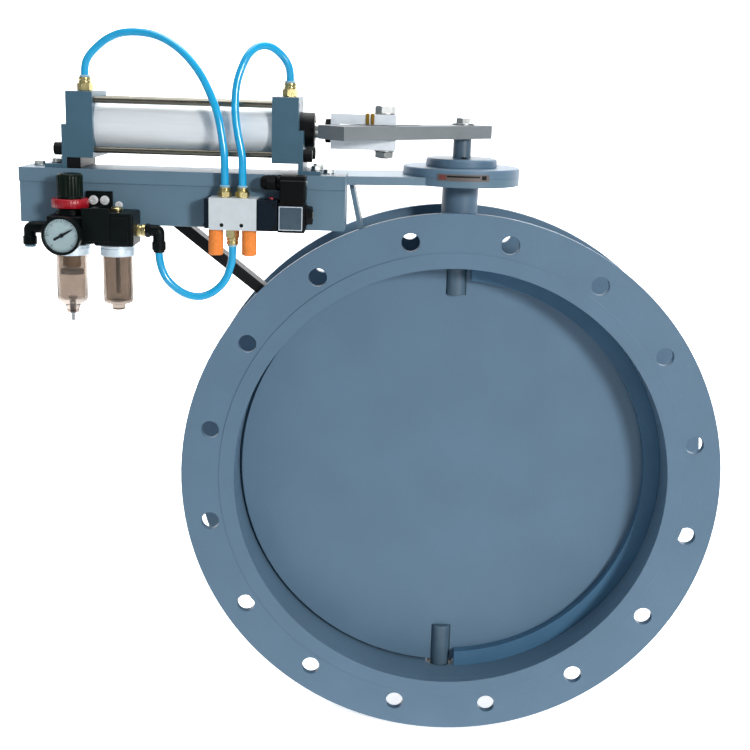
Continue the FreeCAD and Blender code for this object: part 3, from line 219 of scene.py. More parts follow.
HOSE = surface("hose_blue", "hose_blue", 0x10A2D6, 0.22, mottle=0.05, patch=120, grain=0.05, fine=900,
               Coat_Weight=0.4, Coat_Roughness=0.12, Subsurface_Weight=0.15, Subsurface_Scale=0.002)
BOWL = surface("bowl_brown", "bowl_brown", 0xB6ABA2, 0.12, **SMOKED)
OIL_BOWL = surface("oil_bowl_brown", "bowl_brown", 0x9C9086, 0.12, **SMOKED)
GLASS = surface("clear_window", "gauge_glass", 0xF4FAFB, 0.04, mottle=0.01, patch=60, grain=0.01, fine=300,
                Transmission_Weight=1.0, IOR=1.1)


# ---- mesh helpers

def basis(direction):
    """Two directions square to this one, which with it make a right-handed set."""
    along = Vector(direction).normalized()
    side = X if abs(along.dot(X)) < 0.9 else Y
    across = along.cross(side).normalized()
    return across, along.cross(across), along


def around(across, other, angle):
    """Direction at this angle in the plane of two square directions."""
    return across * math.cos(angle) + other * math.sin(angle)


def settle(obj, material, body, replaces):
    """Put a new object in the scene with its finish, on its body."""
    bpy.context.scene.collection.objects.link(obj)
    obj.data.materials.append(material)
    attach(obj, body)
    if replaces:
        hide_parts(*replaces)
    return obj


def soften(obj, width, segments=2, limit=32):
    bevel = obj.modifiers.new("edges", "BEVEL")
    bevel.width = width * MM
    bevel.segments = segments
    bevel.limit_method = "ANGLE"
    bevel.angle_limit = math.radians(limit)
    normals = obj.modifiers.new("normals", "WEIGHTED_NORMAL")
    normals.weight = 60


def piece(name, verts, faces, material, body=ROOT, replaces=(), bevel=0.0, segments=2, sharp=35):
    mesh = bpy.data.meshes.new(name)
    mesh.from_pydata([Vector(vert) * MM for vert in verts], [], faces)
    work = bmesh.new()
    work.from_mesh(mesh)
    bmesh.ops.recalc_face_normals(work, faces=work.faces)
    work.to_mesh(mesh)
    work.free()
    mesh.polygons.foreach_set("use_smooth", [True] * len(mesh.polygons))
    obj = bpy.data.objects.new(name, mesh)
    if bevel:
        soften(obj, bevel, segments)
    else:
        mesh.set_sharp_from_angle(angle=math.radians(sharp))
    return settle(obj, material, body, replaces)


def lathe(name, profile, base, direction, material, steps=48, flutes=0, flute_depth=0.0,
          flute_power=1.0, **rest):
    """Turn (radius, height) points about a line.  A profile that starts off the axis is a ring."""
    across, other, along = basis(direction)
    base = Vector(base)
    if flutes:
        steps = flutes * 6
    closed = profile[0][0] > 0
    widest = max(point[0] for point in profile)
    verts, rings = [], []
    for radius, height in profile:
        if radius == 0:
            rings.append([len(verts)])
            verts.append(base + along * height)
            continue
        rings.append(list(range(len(verts), len(verts) + steps)))
        for step in range(steps):
            angle = 2 * math.pi * step / steps
            trim = flute_depth * max(0.0, math.cos(angle * flutes)) ** flute_power if flutes else 0.0
            reach = radius - trim if radius == widest else radius
            verts.append(base + along * height + around(across, other, angle) * reach)
    pairs = list(zip(rings, rings[1:])) + ([(rings[-1], rings[0])] if closed else [])
    faces = []
    for first, second in pairs:
        for step in range(steps):
            after = (step + 1) % steps
            quad = [first[step % len(first)], first[after % len(first)],
                    second[after % len(second)], second[step % len(second)]]
            face = list(dict.fromkeys(quad))
            if len(face) > 2:
                faces.append(face)
    return piece(name, verts, faces, material, **rest)


BOX_FACES = [(0, 1, 3, 2), (4, 6, 7, 5), (0, 4, 5, 1), (2, 3, 7, 6), (0, 2, 6, 4), (1, 5, 7, 3)]


def block(name, low, high, material, bevel=0.8, **rest):
    (x0, y0, z0), (x1, y1, z1) = low, high
    verts = [(x, y, z) for x in (x0, x1) for y in (y0, y1) for z in (z0, z1)]
    return piece(name, verts, BOX_FACES, material, bevel=bevel, **rest)


def plate_faces(count):
    """Faces of a plate whose outline of so many corners is listed twice, once for each side."""
    sides = [(i, (i + 1) % count, count + (i + 1) % count, count + i) for i in range(count)]
    return [tuple(range(count)), tuple(range(count, 2 * count))] + sides


def hex_piece(name, flats, height, base, direction, material, top=True, turn=0.0, bore=0.0, **rest):
    """Hexagon with the curved chamfer that turning leaves on its corners."""
    across, other, along = basis(direction)
    base = Vector(base)
    steps = 48
    inner = flats / 2 * 0.94
    slope = math.tan(math.radians(30))

    def ring(level):
        points = []
        for step in range(steps):
            angle = 2 * math.pi * step / steps
            sector = (angle + math.pi / 6) % (math.pi / 3) - math.pi / 6
            reach = flats / 2 / math.cos(sector)
            drop = (reach - inner) * slope
            heights = {"foot": drop if top == "both" else 0.0, "brow": height - drop,
                       "crown": height, "sole": 0.0}
            if level in ("crown", "sole"):
                reach = inner
            out = around(across, other, angle + turn)
            points.append(base + along * heights[level] + out * reach)
        return points

    levels = (["sole"] if top == "both" else []) + ["foot", "brow", "crown"]
    verts = [point for level in levels for point in ring(level)]
    faces = []
    for level in range(len(levels) - 1):
        for step in range(steps):
            after = (step + 1) % steps
            faces.append((level * steps + step, level * steps + after,
                          (level + 1) * steps + after, (level + 1) * steps + step))
    last = (len(levels) - 1) * steps
    if bore:
        for end in (0.0, height):
            for step in range(steps):
                angle = 2 * math.pi * step / steps + turn
                verts.append(base + along * end + around(across, other, angle) * bore)
        low, high = len(levels) * steps, (len(levels) + 1) * steps
        for step in range(steps):
            after = (step + 1) % steps
            faces += [(step, after, low + after, low + step),
                      (last + step, last + after, high + after, high + step),
                      (low + step, low + after, high + after, high + step)]
    else:
        faces += [tuple(range(steps)), tuple(range(last, last + steps))]
    return piece(name, verts, faces, material, sharp=22, **rest)


def screw_head(name, radius, height, base, direction, material, recess="cross", dome=0.25, **rest):
    """Round head on a fine polar grid, with a cross, slot or hexagon sunk into its top."""
    across, other, along = basis(direction)
    base = Vector(base)
    steps, rings = 48, 16
    arm = radius * 0.13
    reach = radius * 0.55
    key = radius * 0.42
    deep = height * 0.5

    def top(a, b):
        out = math.hypot(a, b)
        level = height * (1 - dome * (out / radius) ** 2)
        if recess == "cross" and ((abs(a) < arm and abs(b) < reach) or (abs(b) < arm and abs(a) < reach)):
            level -= deep
        if recess == "slot" and abs(b) < arm:
            level -= deep
        if recess == "hex":
            sides = [abs(a * math.cos(t) + b * math.sin(t)) for t in (0, math.pi / 3, 2 * math.pi / 3)]
            level -= deep if max(sides) < key else 0.0
        return level

    verts = [base + along * top(0, 0)]
    for ring in range(1, rings + 1):
        for step in range(steps):
            angle = 2 * math.pi * step / steps
            a, b = (radius * ring / rings * f for f in (math.cos(angle), math.sin(angle)))
            verts.append(base + across * a + other * b + along * top(a, b))
    faces = [(0, 1 + step, 1 + (step + 1) % steps) for step in range(steps)]
    for ring in range(rings - 1):
        for step in range(steps):
            after = (step + 1) % steps
            first = 1 + ring * steps
            faces.append((first + step, first + steps + step, first + steps + after, first + after))
    rim = 1 + (rings - 1) * steps
    foot = len(verts)
    for step in range(steps):
        angle = 2 * math.pi * step / steps
        verts.append(base + around(across, other, angle) * radius)
    faces += [(rim + step, rim + (step + 1) % steps, foot + (step + 1) % steps, foot + step)
              for step in range(steps)]
    faces.append(tuple(range(foot, foot + steps)))
    return piece(name, verts, faces, material, sharp=40, **rest)


def bead(name, path, radius, material, closed=True, body=ROOT):
    """Weld bead: a thin round run along the path, with the ripples that its pools leave."""
    points = [Vector(point) for point in path]
    count = len(points)
    sides = 8
    verts, faces = [], []
    for index, point in enumerate(points):
        before = points[index - 1] if closed or index else point
        after = points[(index + 1) % count] if closed or index < count - 1 else point
        across, other, _ = basis(after - before)
        swell = radius * (1 + 0.12 * math.sin(index * 2.1) + 0.06 * math.sin(index * 0.73))
        for side in range(sides):
            angle = 2 * math.pi * side / sides
            verts.append(point + around(across, other, angle) * swell)
    for index in range(count if closed else count - 1):
        for side in range(sides):
            after = (index + 1) % count
            faces.append((index * sides + side, index * sides + (side + 1) % sides,
                          after * sides + (side + 1) % sides, after * sides + side))
    if not closed:
        faces += [tuple(range(sides)), tuple(range((count - 1) * sides, count * sides))]
    return piece(name, verts, faces, material, body=body, sharp=80)


def round_run(name, points, radius, smooth):
    """Round bar or hose along these control points, all in metres."""
    curve = bpy.data.curves.new(name, "CURVE")
    curve.dimensions = "3D"
    curve.bevel_depth = radius
    curve.bevel_resolution = 8
    curve.resolution_u = smooth
    spline = curve.splines.new("NURBS")
    spline.points.add(len(points) - 1)
    for spot, point in zip(spline.points, points):
        spot.co = (*point, 1)
    spline.order_u = 3
    spline.use_endpoint_u = True
    return bpy.data.objects.new(name, curve)


# ---- CAD nodes that stay

CARRIED = [
    (PAINT, 0.6, "front_flange rear_flange body_shell bearing_necks disc_plate stem_flange gland_disc"),
    (SHADED_SEAT_PAINT, 0.5, "seat_rings"),
    (BRONZE, 0.0, "stem_bushes"),
    (SEAL, 0.0, "shaft_seals piston_seals"),
    (BEAM_PAINT, 0.8, "mount_plate bracket_beam beam_lid"),
    (ARM_LIT_PAINT, 0.7, "crank_arm"),
    (CAP_PAINT, 1.0, "rear_cap front_cap foot_brackets"),
    (BARREL, 0.0, "barrel"),
    (TIE_STEEL, 0.3, "tie_rods"),
    (STEEL, 0.3, "piston_rod"),
    (STEM_PAINT, 0.4, "half_shafts"),
    (BLACK_STEEL, 0.5, "rod_gland spacer_block"),
    (NICKEL, 0.8, "rod_fork"),
    (ALLOY, 0.2, "piston spool adjusting_spindle"),
    (UNIT_BLACK, 0.7, "joining_bracket"),
    (BLOCK, 0.7, "valve_block"),
    (NAVY, 0.7, "pilot_blocks"),
]


def carry_over():
    for material, width, names in CARRIED:
        for name in names.split():
            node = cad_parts[name]
            node.data.materials.clear()
            node.data.materials.append(material)
            if not width:
                continue
            weld = node.modifiers.new("joined", "WELD")
            weld.merge_threshold = 0.00001
            flat = node.modifiers.new("flat", "DECIMATE")
            flat.decimate_type = "DISSOLVE"
            flat.angle_limit = math.radians(0.4)
            soften(node, width, 2, 34)


# ---- valve

FLANGE_BACK = span("front_flange")[1].y
SHELL_R = (span("body_shell")[1].x - span("body_shell")[0].x) / 2
STEM_Y = middle("stem_flange").y
NECK_R = (span("bearing_necks")[1].x - span("bearing_necks")[0].x) / 2
PLATE_LOW = span("mount_plate")[0].z


def ring_path(radius, centre, axis, count):
    across, other, _ = basis(axis)
    angles = [2 * math.pi * i / count for i in range(count)]
    return [Vector(centre) + around(across, other, angle) * radius for angle in angles]


def welds():
    shell_back = span("rear_flange")[0].y
    for name, y in (("weld_front", FLANGE_BACK + 1.2), ("weld_rear", shell_back - 1.2)):
        bead(name, ring_path(SHELL_R + 1.0, (0, y, 0), Y, 420), 2.6, PAINT)
    for name, way in (("weld_neck_top", 1), ("weld_neck_low", -1)):
        path = []
        for point in ring_path(NECK_R + 0.6, (0, STEM_Y, 0), Z, 64):
            path.append((point.x, point.y, way * (math.sqrt(SHELL_R ** 2 - point.x ** 2) + 0.8)))
        bead(name, path, 2.4, PAINT)
    bead("weld_plate", ring_path(NECK_R + 0.6, (0, STEM_Y, PLATE_LOW - 0.8), Z, 60), 2.2, PAINT)


def indicator():
    """Strip on the stem flange's front rim, with a red mark, a dark line and a dark square."""
    low, high = span("indicator_plate")
    flange = span("stem_flange")
    rim = (flange[1].x - flange[0].x) / 2
    base, top = low.z, high.z

    def patch(name, x0, x1, z0, z1, proud, material, **rest):
        verts, faces = [], []
        steps = max(2, int(abs(x1 - x0) / 2))
        for step in range(steps + 1):
            x = x0 + (x1 - x0) * step / steps
            for radius in (rim + 0.15, rim + proud):
                y = STEM_Y - math.sqrt(radius ** 2 - x ** 2)
                verts += [(x, y, z0), (x, y, z1)]
        for step in range(steps):
            a, b = step * 4, step * 4 + 4
            faces += [(a, a + 1, b + 1, b), (a + 2, b + 2, b + 3, a + 3), (a, b, b + 2, a + 2),
                      (a + 1, a + 3, b + 3, b + 1)]
        end = steps * 4
        faces += [(0, 2, 3, 1), (end, end + 1, end + 3, end + 2)]
        piece(name, verts, faces, material, sharp=40, **rest)

    patch("indicator_strip", -28, 27, base, top, 0.8, STRIP, replaces=("indicator_plate",))
    patch("indicator_line", -18, 17, top - 3.2, top - 1.4, 1.0, BLACK_PAINT)
    patch("indicator_mark", -26, -19, base + 1.2, top - 1, 1.05, STRIP_RED)
    patch("indicator_square", 19, 24, base + 1.8, top - 1, 1.05, BLACK_STEEL)
    lathe("gland_set_screw", [(0, 0), (3.1, 0), (3.1, 1.6), (0, 1.6)],
          (2, STEM_Y - 14.5, span("gland_disc")[1].z), Z, BLACK_STEEL, bevel=0.3)


# ---- bracket

def bracket_parts():
    """Diagonal black brace behind the beam and the support leg, both ending on the shell."""
    brace_front, brace_deep, width = span("beam_lid")[1].y + 0.2, 24, 12
    start = Vector((-346, 305))
    slope = math.radians(-37.7)
    run = Vector((math.cos(slope), math.sin(slope)))
    side = Vector((-run.y, run.x))
    sunk, shares = 0.4, 6
    ends = []
    for share in range(shares + 1):
        foot = start + side * (width * share / shares)
        along = -foot.dot(run) - math.sqrt(foot.dot(run) ** 2 - foot.length_squared + (SHELL_R - sunk) ** 2)
        ends.append(foot + run * along)
    outline = [start + side * width, start] + ends
    verts = [(p.x, y, p.y) for y in (brace_front, brace_front + brace_deep) for p in outline]
    piece("diagonal_brace", verts, plate_faces(len(outline)), BLACK_PAINT, bevel=1.0,
          replaces=("bracket_legs",))
    leg_front, leg_back, leg_left, leg_right, lean = 14, 60, -122, -117, 0.226
    feet = []
    for x in (leg_left, leg_right):
        z = PLATE_LOW
        while math.hypot(x, z) > SHELL_R - sunk:
            x, z = x + lean, z - 1
        feet.append((x, z))
    outline = [(leg_left, PLATE_LOW), *feet, (leg_right, PLATE_LOW)]
    verts = [(x, y, z) for y in (leg_front, leg_back) for x, z in outline]
    piece("support_leg", verts, plate_faces(len(outline)), BEAM_PAINT, bevel=0.6)


def bolt_set():
    """Hexagon bolts with washers on the lid and the feet, and the small white screws."""
    lid = span("beam_lid")[1].z
    foot = lid + 4
    spots = [("lid_bolt_left", -444, -20, lid, True), ("lid_bolt_right", -142, -20, lid, False)]
    for y in (-34, -1):
        spots.append((f"rear_foot_bolt{y}", -421.5, y, foot, False))
        spots.append((f"front_foot_bolt{y}", -154, y, foot, False))
    for name, x, y, z, first in spots:
        lathe(f"{name}_washer", [(2, 0), (6.2, 0), (6.2, 1), (2, 1)], (x, y, z), Z, ZINC, bevel=0.2,
              replaces=("zinc_fasteners",) if first else ())
        hex_piece(name, 9.6, 3.6, (x, y, z + 1), Z, ZINC, turn=0.3)
    tab_front, tab_z = -56, 311
    for name, x in (("unit_screw_left", -380), ("unit_screw_right", -368.5)):
        screw_head(name, 4.6, 2.8, (x, tab_front, tab_z), -Y, WHITE_SCREW)
    screw_head("beam_screw", 3.9, 2.4, (-355, span("bracket_beam")[0].y, tab_z - 5), -Y, WHITE_SCREW)


# ---- cylinder and linkage

AXIS = middle("barrel")
TIE_HALF = 25


def cylinder_parts():
    plate = 5
    faces = (("rear", span("rear_cap")[0].x - plate, -X), ("front", span("front_cap")[1].x + plate, X))
    for side, face, way in faces:
        for count, y in enumerate((AXIS.y - TIE_HALF, AXIS.y + TIE_HALF)):
            name = f"{side}_socket_screw_{count}"
            spot = (face, y, AXIS.z - TIE_HALF)
            lathe(f"{name}_head", [(3.2, 0), (6.5, 0), (6.5, 8.6), (5.9, 9.2), (3.6, 9.2), (3.2, 8.6)],
                  spot, way, BLACK_STEEL, flutes=24, flute_depth=0.22,
                  replaces=("foot_screws",) if (side, count) == ("rear", 0) else ())
            screw_head(f"{name}_key", 3.4, 8.4, spot, way, BLACK_STEEL, recess="hex", dome=0.0)
    low, high = span("lock_nut")
    hex_piece("lock_nut_piece", 24, high.x - low.x, (low.x, AXIS.y, AXIS.z), X, BLACK_STEEL, top="both",
              bore=8.0, body="rod_line", replaces=("lock_nut",))


def linkage_parts():
    fork_low, fork_high = span("rod_fork")
    pin = middle("fork_pin")
    x, y = pin.x, AXIS.y
    top, bottom = fork_high.z, fork_low.z
    lathe("pin_shank", [(0, bottom - 8.9), (4.4, bottom - 8.9), (4.95, bottom - 8), (4.95, top + 4),
                        (0, top + 4)], (x, y, 0), Z, ZINC, body="rod_line", replaces=("fork_pin",))
    for name, z, way in (("pin_washer_top", top, Z), ("pin_washer_low", bottom, -Z)):
        lathe(name, [(4, 0), (10.8, 0), (10.8, 1.6), (4, 1.6)], (x, y, z), way, ZINC, body="rod_line",
              bevel=0.3)
    hex_piece("pin_head", 18.4, 7.4, (x, y, top + 1.6), Z, ZINC, body="rod_line", turn=0.2)
    hex_piece("pin_nut", 18.4, 6.4, (x, y, bottom - 1.6), -Z, ZINC, body="rod_line", turn=0.5, top="both")
    ear_low = span("crank_arm")[1].z + 0.9
    half = (fork_high.y - fork_low.y) / 2
    proud, gap, wide = 0.9, 0.05, 3.6
    for count, left in enumerate((-104.6, -99.4)):
        clip = [(-half - proud, ear_low), (-half - proud, top + proud), (half + proud, top + proud),
                (half + proud, ear_low), (half + gap, ear_low), (half + gap, top + gap),
                (-half - gap, top + gap), (-half - gap, ear_low)]
        verts = [(left + shift, y + a, b) for shift in (0, wide) for a, b in clip]
        faces = [(0, 1, 6, 7), (1, 2, 5, 6), (2, 3, 4, 5), (8, 15, 14, 9), (9, 14, 13, 10),
                 (10, 13, 12, 11)]
        faces += plate_faces(len(clip))[2:]
        piece(f"fork_clip_{count}", verts, faces, GOLD_CLIP, body="rod_line", bevel=0.2)
    arm_top = span("crank_arm")[1].z
    lathe("arm_washer", [(3.5, 0), (12, 0), (12, 2), (3.5, 2)], (0, STEM_Y, arm_top), Z, ZINC,
          body="stem_and_disc", bevel=0.3, replaces=("arm_fasteners",))
    hex_piece("arm_bolt", 14.6, 5.8, (0, STEM_Y, arm_top + 2), Z, ZINC, body="stem_and_disc", turn=0.4)
    block("arm_key", (-2.9, STEM_Y - 9.4, arm_top - 14), (2.9, STEM_Y - 6.7, arm_top - 0.1), STEM_PAINT,
          bevel=0.3, body="stem_and_disc")


# ---- fittings and hoses

def push_fitting(name, flats, length, at, direction, sleeve=SLEEVE, **rest):
    """Hexagon, grooved collar and release sleeve of a straight push-in fitting."""
    way, at = Vector(direction), Vector(at)
    hex_long = length * 0.5
    radius = flats / 2 - 0.5
    bore, lip = 4.05, 2.2
    hex_piece(f"{name}_hex", flats, hex_long, at, way, BRASS, top="both", bore=bore, turn=0.26, **rest)
    collar = length - hex_long - lip
    lathe(f"{name}_collar",
          [(bore, 0), (radius, 0), (radius, collar * 0.35), (radius - 0.5, collar * 0.42),
           (radius - 0.5, collar * 0.55), (radius, collar * 0.62), (radius, collar), (bore, collar)],
          at + way * hex_long, way, BRASS, bevel=0.25)
    lathe(f"{name}_sleeve", [(bore, 0), (radius - 1.2, 0), (radius - 0.8, 1.6), (radius - 1.1, lip),
                             (bore, lip)], at + way * (length - lip), way, sleeve, bevel=0.15)


CAP_TOP = span("rear_cap")[1].z
REAR_PORT_X = span("rear_cap")[0].x + 12.5
FRONT_PORT_X = span("front_cap")[0].x + 15.5
VALVE = span("valve_block")
VALVE_MID = middle("valve_block")


def fittings():
    push_fitting("rear_port", 14, 16, (REAR_PORT_X, AXIS.y, CAP_TOP), Z, replaces=("brass_fittings",))
    push_fitting("front_port", 14, 16, (FRONT_PORT_X, AXIS.y, CAP_TOP), Z)
    for name, shift in (("port_a", -9.5), ("port_b", 8.5)):
        push_fitting(name, 13, 12, (VALVE_MID.x + shift, VALVE_MID.y, VALVE[1].z), Z)
    push_fitting("supply_port", 13, 18, (VALVE_MID.x - 1.5, VALVE_MID.y, VALVE[0].z), -Z)


# routes of the three hoses, in metres, as the part's own source lists them
REAR_ROUTE = [(-0.3955, -0.0173, 0.435), (-0.3955, -0.0173, 0.445), (-0.391, -0.01765, 0.4545),
              (-0.382, -0.018, 0.4635), (-0.3725, -0.021, 0.471), (-0.3555, -0.025, 0.4785),
              (-0.331, -0.031, 0.479), (-0.31, -0.039, 0.474), (-0.2885, -0.047, 0.4605),
              (-0.2705, -0.0535, 0.4405), (-0.258, -0.0585, 0.4165), (-0.2505, -0.0625, 0.396),
              (-0.2455, -0.065, 0.366), (-0.2445, -0.0655, 0.351), (-0.2445, -0.0655, 0.331)]
FRONT_ROUTE = [(-0.1835, -0.0173, 0.435), (-0.1835, -0.0173, 0.445), (-0.187, -0.01915, 0.454),
               (-0.1935, -0.021, 0.462), (-0.2035, -0.029, 0.4695), (-0.215, -0.0385, 0.4685),
               (-0.2235, -0.0465, 0.4605), (-0.2295, -0.0515, 0.4475), (-0.2345, -0.0555, 0.4305),
               (-0.2355, -0.0595, 0.408), (-0.2325, -0.063, 0.384), (-0.227, -0.065, 0.362),
               (-0.2265, -0.0655, 0.3465), (-0.2265, -0.0655, 0.331)]
SUPPLY_ROUTE = [(-0.31, -0.076, 0.262), (-0.31, -0.076, 0.2535), (-0.304, -0.076, 0.236),
                (-0.293, -0.075, 0.225), (-0.281, -0.0735, 0.218), (-0.2675, -0.0715, 0.2165),
                (-0.2545, -0.0695, 0.222), (-0.243, -0.0675, 0.234), (-0.2385, -0.066, 0.2485),
                (-0.2365, -0.0655, 0.256), (-0.2365, -0.0655, 0.269)]


def hose(name, node, route):
    obj = round_run(name, route, radius=0.004, smooth=12)
    settle(obj, HOSE, ROOT, (node,))


def hoses():
    hose("rear_air_hose", "rear_hose", REAR_ROUTE)
    hose("front_air_hose", "front_hose", FRONT_ROUTE)
    hose("supply_air_hose", "supply_hose", SUPPLY_ROUTE)


# ---- air preparation unit

REGULATOR = span("regulator_body")
OILER = span("lubricator_body")
FILTER_AXIS = middle("regulator_knob")
OILER_AXIS = middle("oil_adjuster")


def unit_heads():
    back, front = OILER[1].y, OILER[0].y
    half = (back - front) / 2
    fx, ox = FILTER_AXIS.x, OILER_AXIS.x
    low, head_top = OILER[0].z, 298
    block("regulator_head", (fx - half, front, low), (fx + half, back, head_top), UNIT_BLACK, bevel=2.6,
          segments=3, replaces=("regulator_body",))
    lathe("regulator_bonnet", [(4.2, 0), (14.5, 0), (14.5, 3), (13.4, 4), (13.4, 5.4), (14.5, 6.4),
                               (14.5, 7), (4.2, 7)], (fx, FILTER_AXIS.y, head_top), Z, UNIT_BLACK,
          bevel=0.3)
    lathe("gauge_boss", [(0, -2), (8.4, -2), (8.4, 5.8), (0, 5.8)], (fx, front, middle("gauge_case").z), -Y,
          UNIT_BLACK, bevel=0.5)
    block("oiler_head", (ox - half, front, low), (ox + half, back, OILER[1].z), UNIT_BLACK, bevel=2.6,
          segments=3, replaces=("lubricator_body",))
    block("oiler_panel", (ox - 14, front - 1.1, low + 4), (ox + 15, front + 1, OILER[1].z - 5), UNIT_BLACK,
          bevel=0.7)
    block("oiler_rib", (ox - 15.4, front - 1.8, low + 1), (ox - 14.2, front + 1, OILER[1].z - 2),
          UNIT_BLACK, bevel=0.3)
    block("regulator_rib", (fx + half - 3.4, front - 1.2, low + 3),
          (fx + half - 1.8, front + 1, head_top - 3), UNIT_BLACK, bevel=0.3)
    lathe("oiler_screw", [(0, -10), (3.6, -10), (3.6, 0.2), (5.9, 0.2), (5.9, 2.4), (5.2, 3.0), (0, 3.0)],
          (ox, OILER_AXIS.y, OILER[1].z), Z, BRASS, bevel=0.2, body="oil_screw", replaces=("oil_adjuster",))
    screw_head("oiler_screw_top", 5.1, 1.0, (ox, OILER_AXIS.y, OILER[1].z + 2.95), Z, BRASS, recess="slot",
               body="oil_screw")


def knob_parts():
    low, high = span("regulator_knob")
    x, y = FILTER_AXIS.x, FILTER_AXIS.y
    tall = high.z - low.z
    radius = (high.x - low.x) / 2
    profile = [(3.2, 0), (radius, 0), (radius, tall - 3.2), (radius - 0.6, tall - 1.2),
               (radius - 2.4, tall), (3.2, tall), (3.2, tall - 4)]
    lathe("pressure_knob", profile, (x, y, low.z), Z, KNOB, flutes=18, flute_depth=0.9, flute_power=2.0,
          body="knob", replaces=("regulator_knob",), sharp=50)
    lathe("knob_cap", [(0, tall - 4), (9.2, tall - 0.6), (9.2, tall - 0.1), (0, tall - 0.1)], (x, y, low.z),
          Z, KNOB, body="knob", bevel=0.2)
    lathe("knob_skirt", [(3.2, 0), (radius - 0.1, 0), (radius - 0.1, 2.4), (3.2, 2.4)], (x, y, low.z), Z,
          KNOB, body="knob", bevel=0.3)
    ring_low, ring_high = span("lock_ring")
    outer = (ring_high.x - ring_low.x) / 2
    thick = ring_high.z - ring_low.z
    lathe("red_lock_ring", [(12.6, 0), (outer - 0.8, 0), (outer, 0.8), (outer, thick - 0.8),
                            (outer - 0.8, thick), (12.6, thick)], (x, y, ring_low.z), Z, RED, flutes=40,
          flute_depth=0.25, replaces=("lock_ring",), sharp=50)


def gauge_parts():
    low, high = span("gauge_case")
    x, z = middle("gauge_case").x, middle("gauge_case").z
    radius = (high.x - low.x) / 2
    back, front = high.y, low.y
    deep = back - front
    floor = deep - 5
    pane = radius - 2.8
    lathe("gauge_body", [(0, 0), (5, 0), (5, 2), (radius - 3, 2), (radius - 0.6, 4),
                         (radius - 0.6, deep - 4), (radius, deep - 3.4), (radius, deep - 0.8),
                         (radius - 0.8, deep), (radius - 2.4, deep), (radius - 2.7, deep - 0.6),
                         (radius - 2.7, floor), (0, floor)], (x, back, z), -Y, UNIT_BLACK, steps=72,
          replaces=("gauge_case",))
    face_y = back - floor
    lathe("gauge_dial", [(1.3, 0), (pane, 0), (pane, 0.35), (1.3, 0.35)], (x, face_y, z),
          -Y, DIAL, steps=72)
    first, sweep, marks = math.radians(225), math.radians(-270), 30
    mark_top = radius - 3.6
    for mark in range(marks + 1):
        angle = first + sweep * mark / marks
        long = 3.2 if mark % 5 == 0 else 1.7
        wide = 0.42 if mark % 5 == 0 else 0.22
        out = Vector((math.cos(angle), 0, math.sin(angle)))
        side = Vector((-out.z, 0, out.x)) * wide / 2
        hub = Vector((x, face_y - 0.42, z))
        corners = [hub + out * reach + side * sign for reach in (mark_top - long, mark_top)
                   for sign in (-1, 1)]
        verts = corners + [corner + Y * 0.1 for corner in corners]
        piece(f"dial_tick_{mark}", verts, BOX_FACES, TICK)
    lathe("gauge_window", [(0, 0), (pane, 0), (pane, 0.7), (radius - 5, 1.1), (0, 1.3)],
          (x, front + 1.6, z), -Y, GLASS, steps=72, replaces=("gauge_glass",), sharp=60)
    turn = Matrix.Rotation(math.radians(-30), 3, "Y")
    outline = [(-9, -1.0), (-8, -1.3), (-2, -1.1), (0, -1.4), (9, -0.75), (13.2, -0.1), (13.2, 0.1),
               (9, 0.75), (0, 1.4), (-2, 1.1), (-8, 1.3), (-9, 1.0)]
    hub = Vector((x, front + 3.7, z))
    verts = [hub + turn @ Vector((a, depth, b)) for depth in (-0.25, 0.25) for a, b in outline]
    piece("pointer", verts, plate_faces(len(outline)), TICK, body="needle", bevel=0.1,
          replaces=("gauge_needle",))
    lathe("pointer_hub", [(0, -2.2), (0.95, -2.2), (0.95, -0.6), (2.1, -0.6), (2.1, 0.8), (1.6, 1.2),
                          (0, 1.2)], (x, front + 3.7, z), -Y, TICK, body="needle")


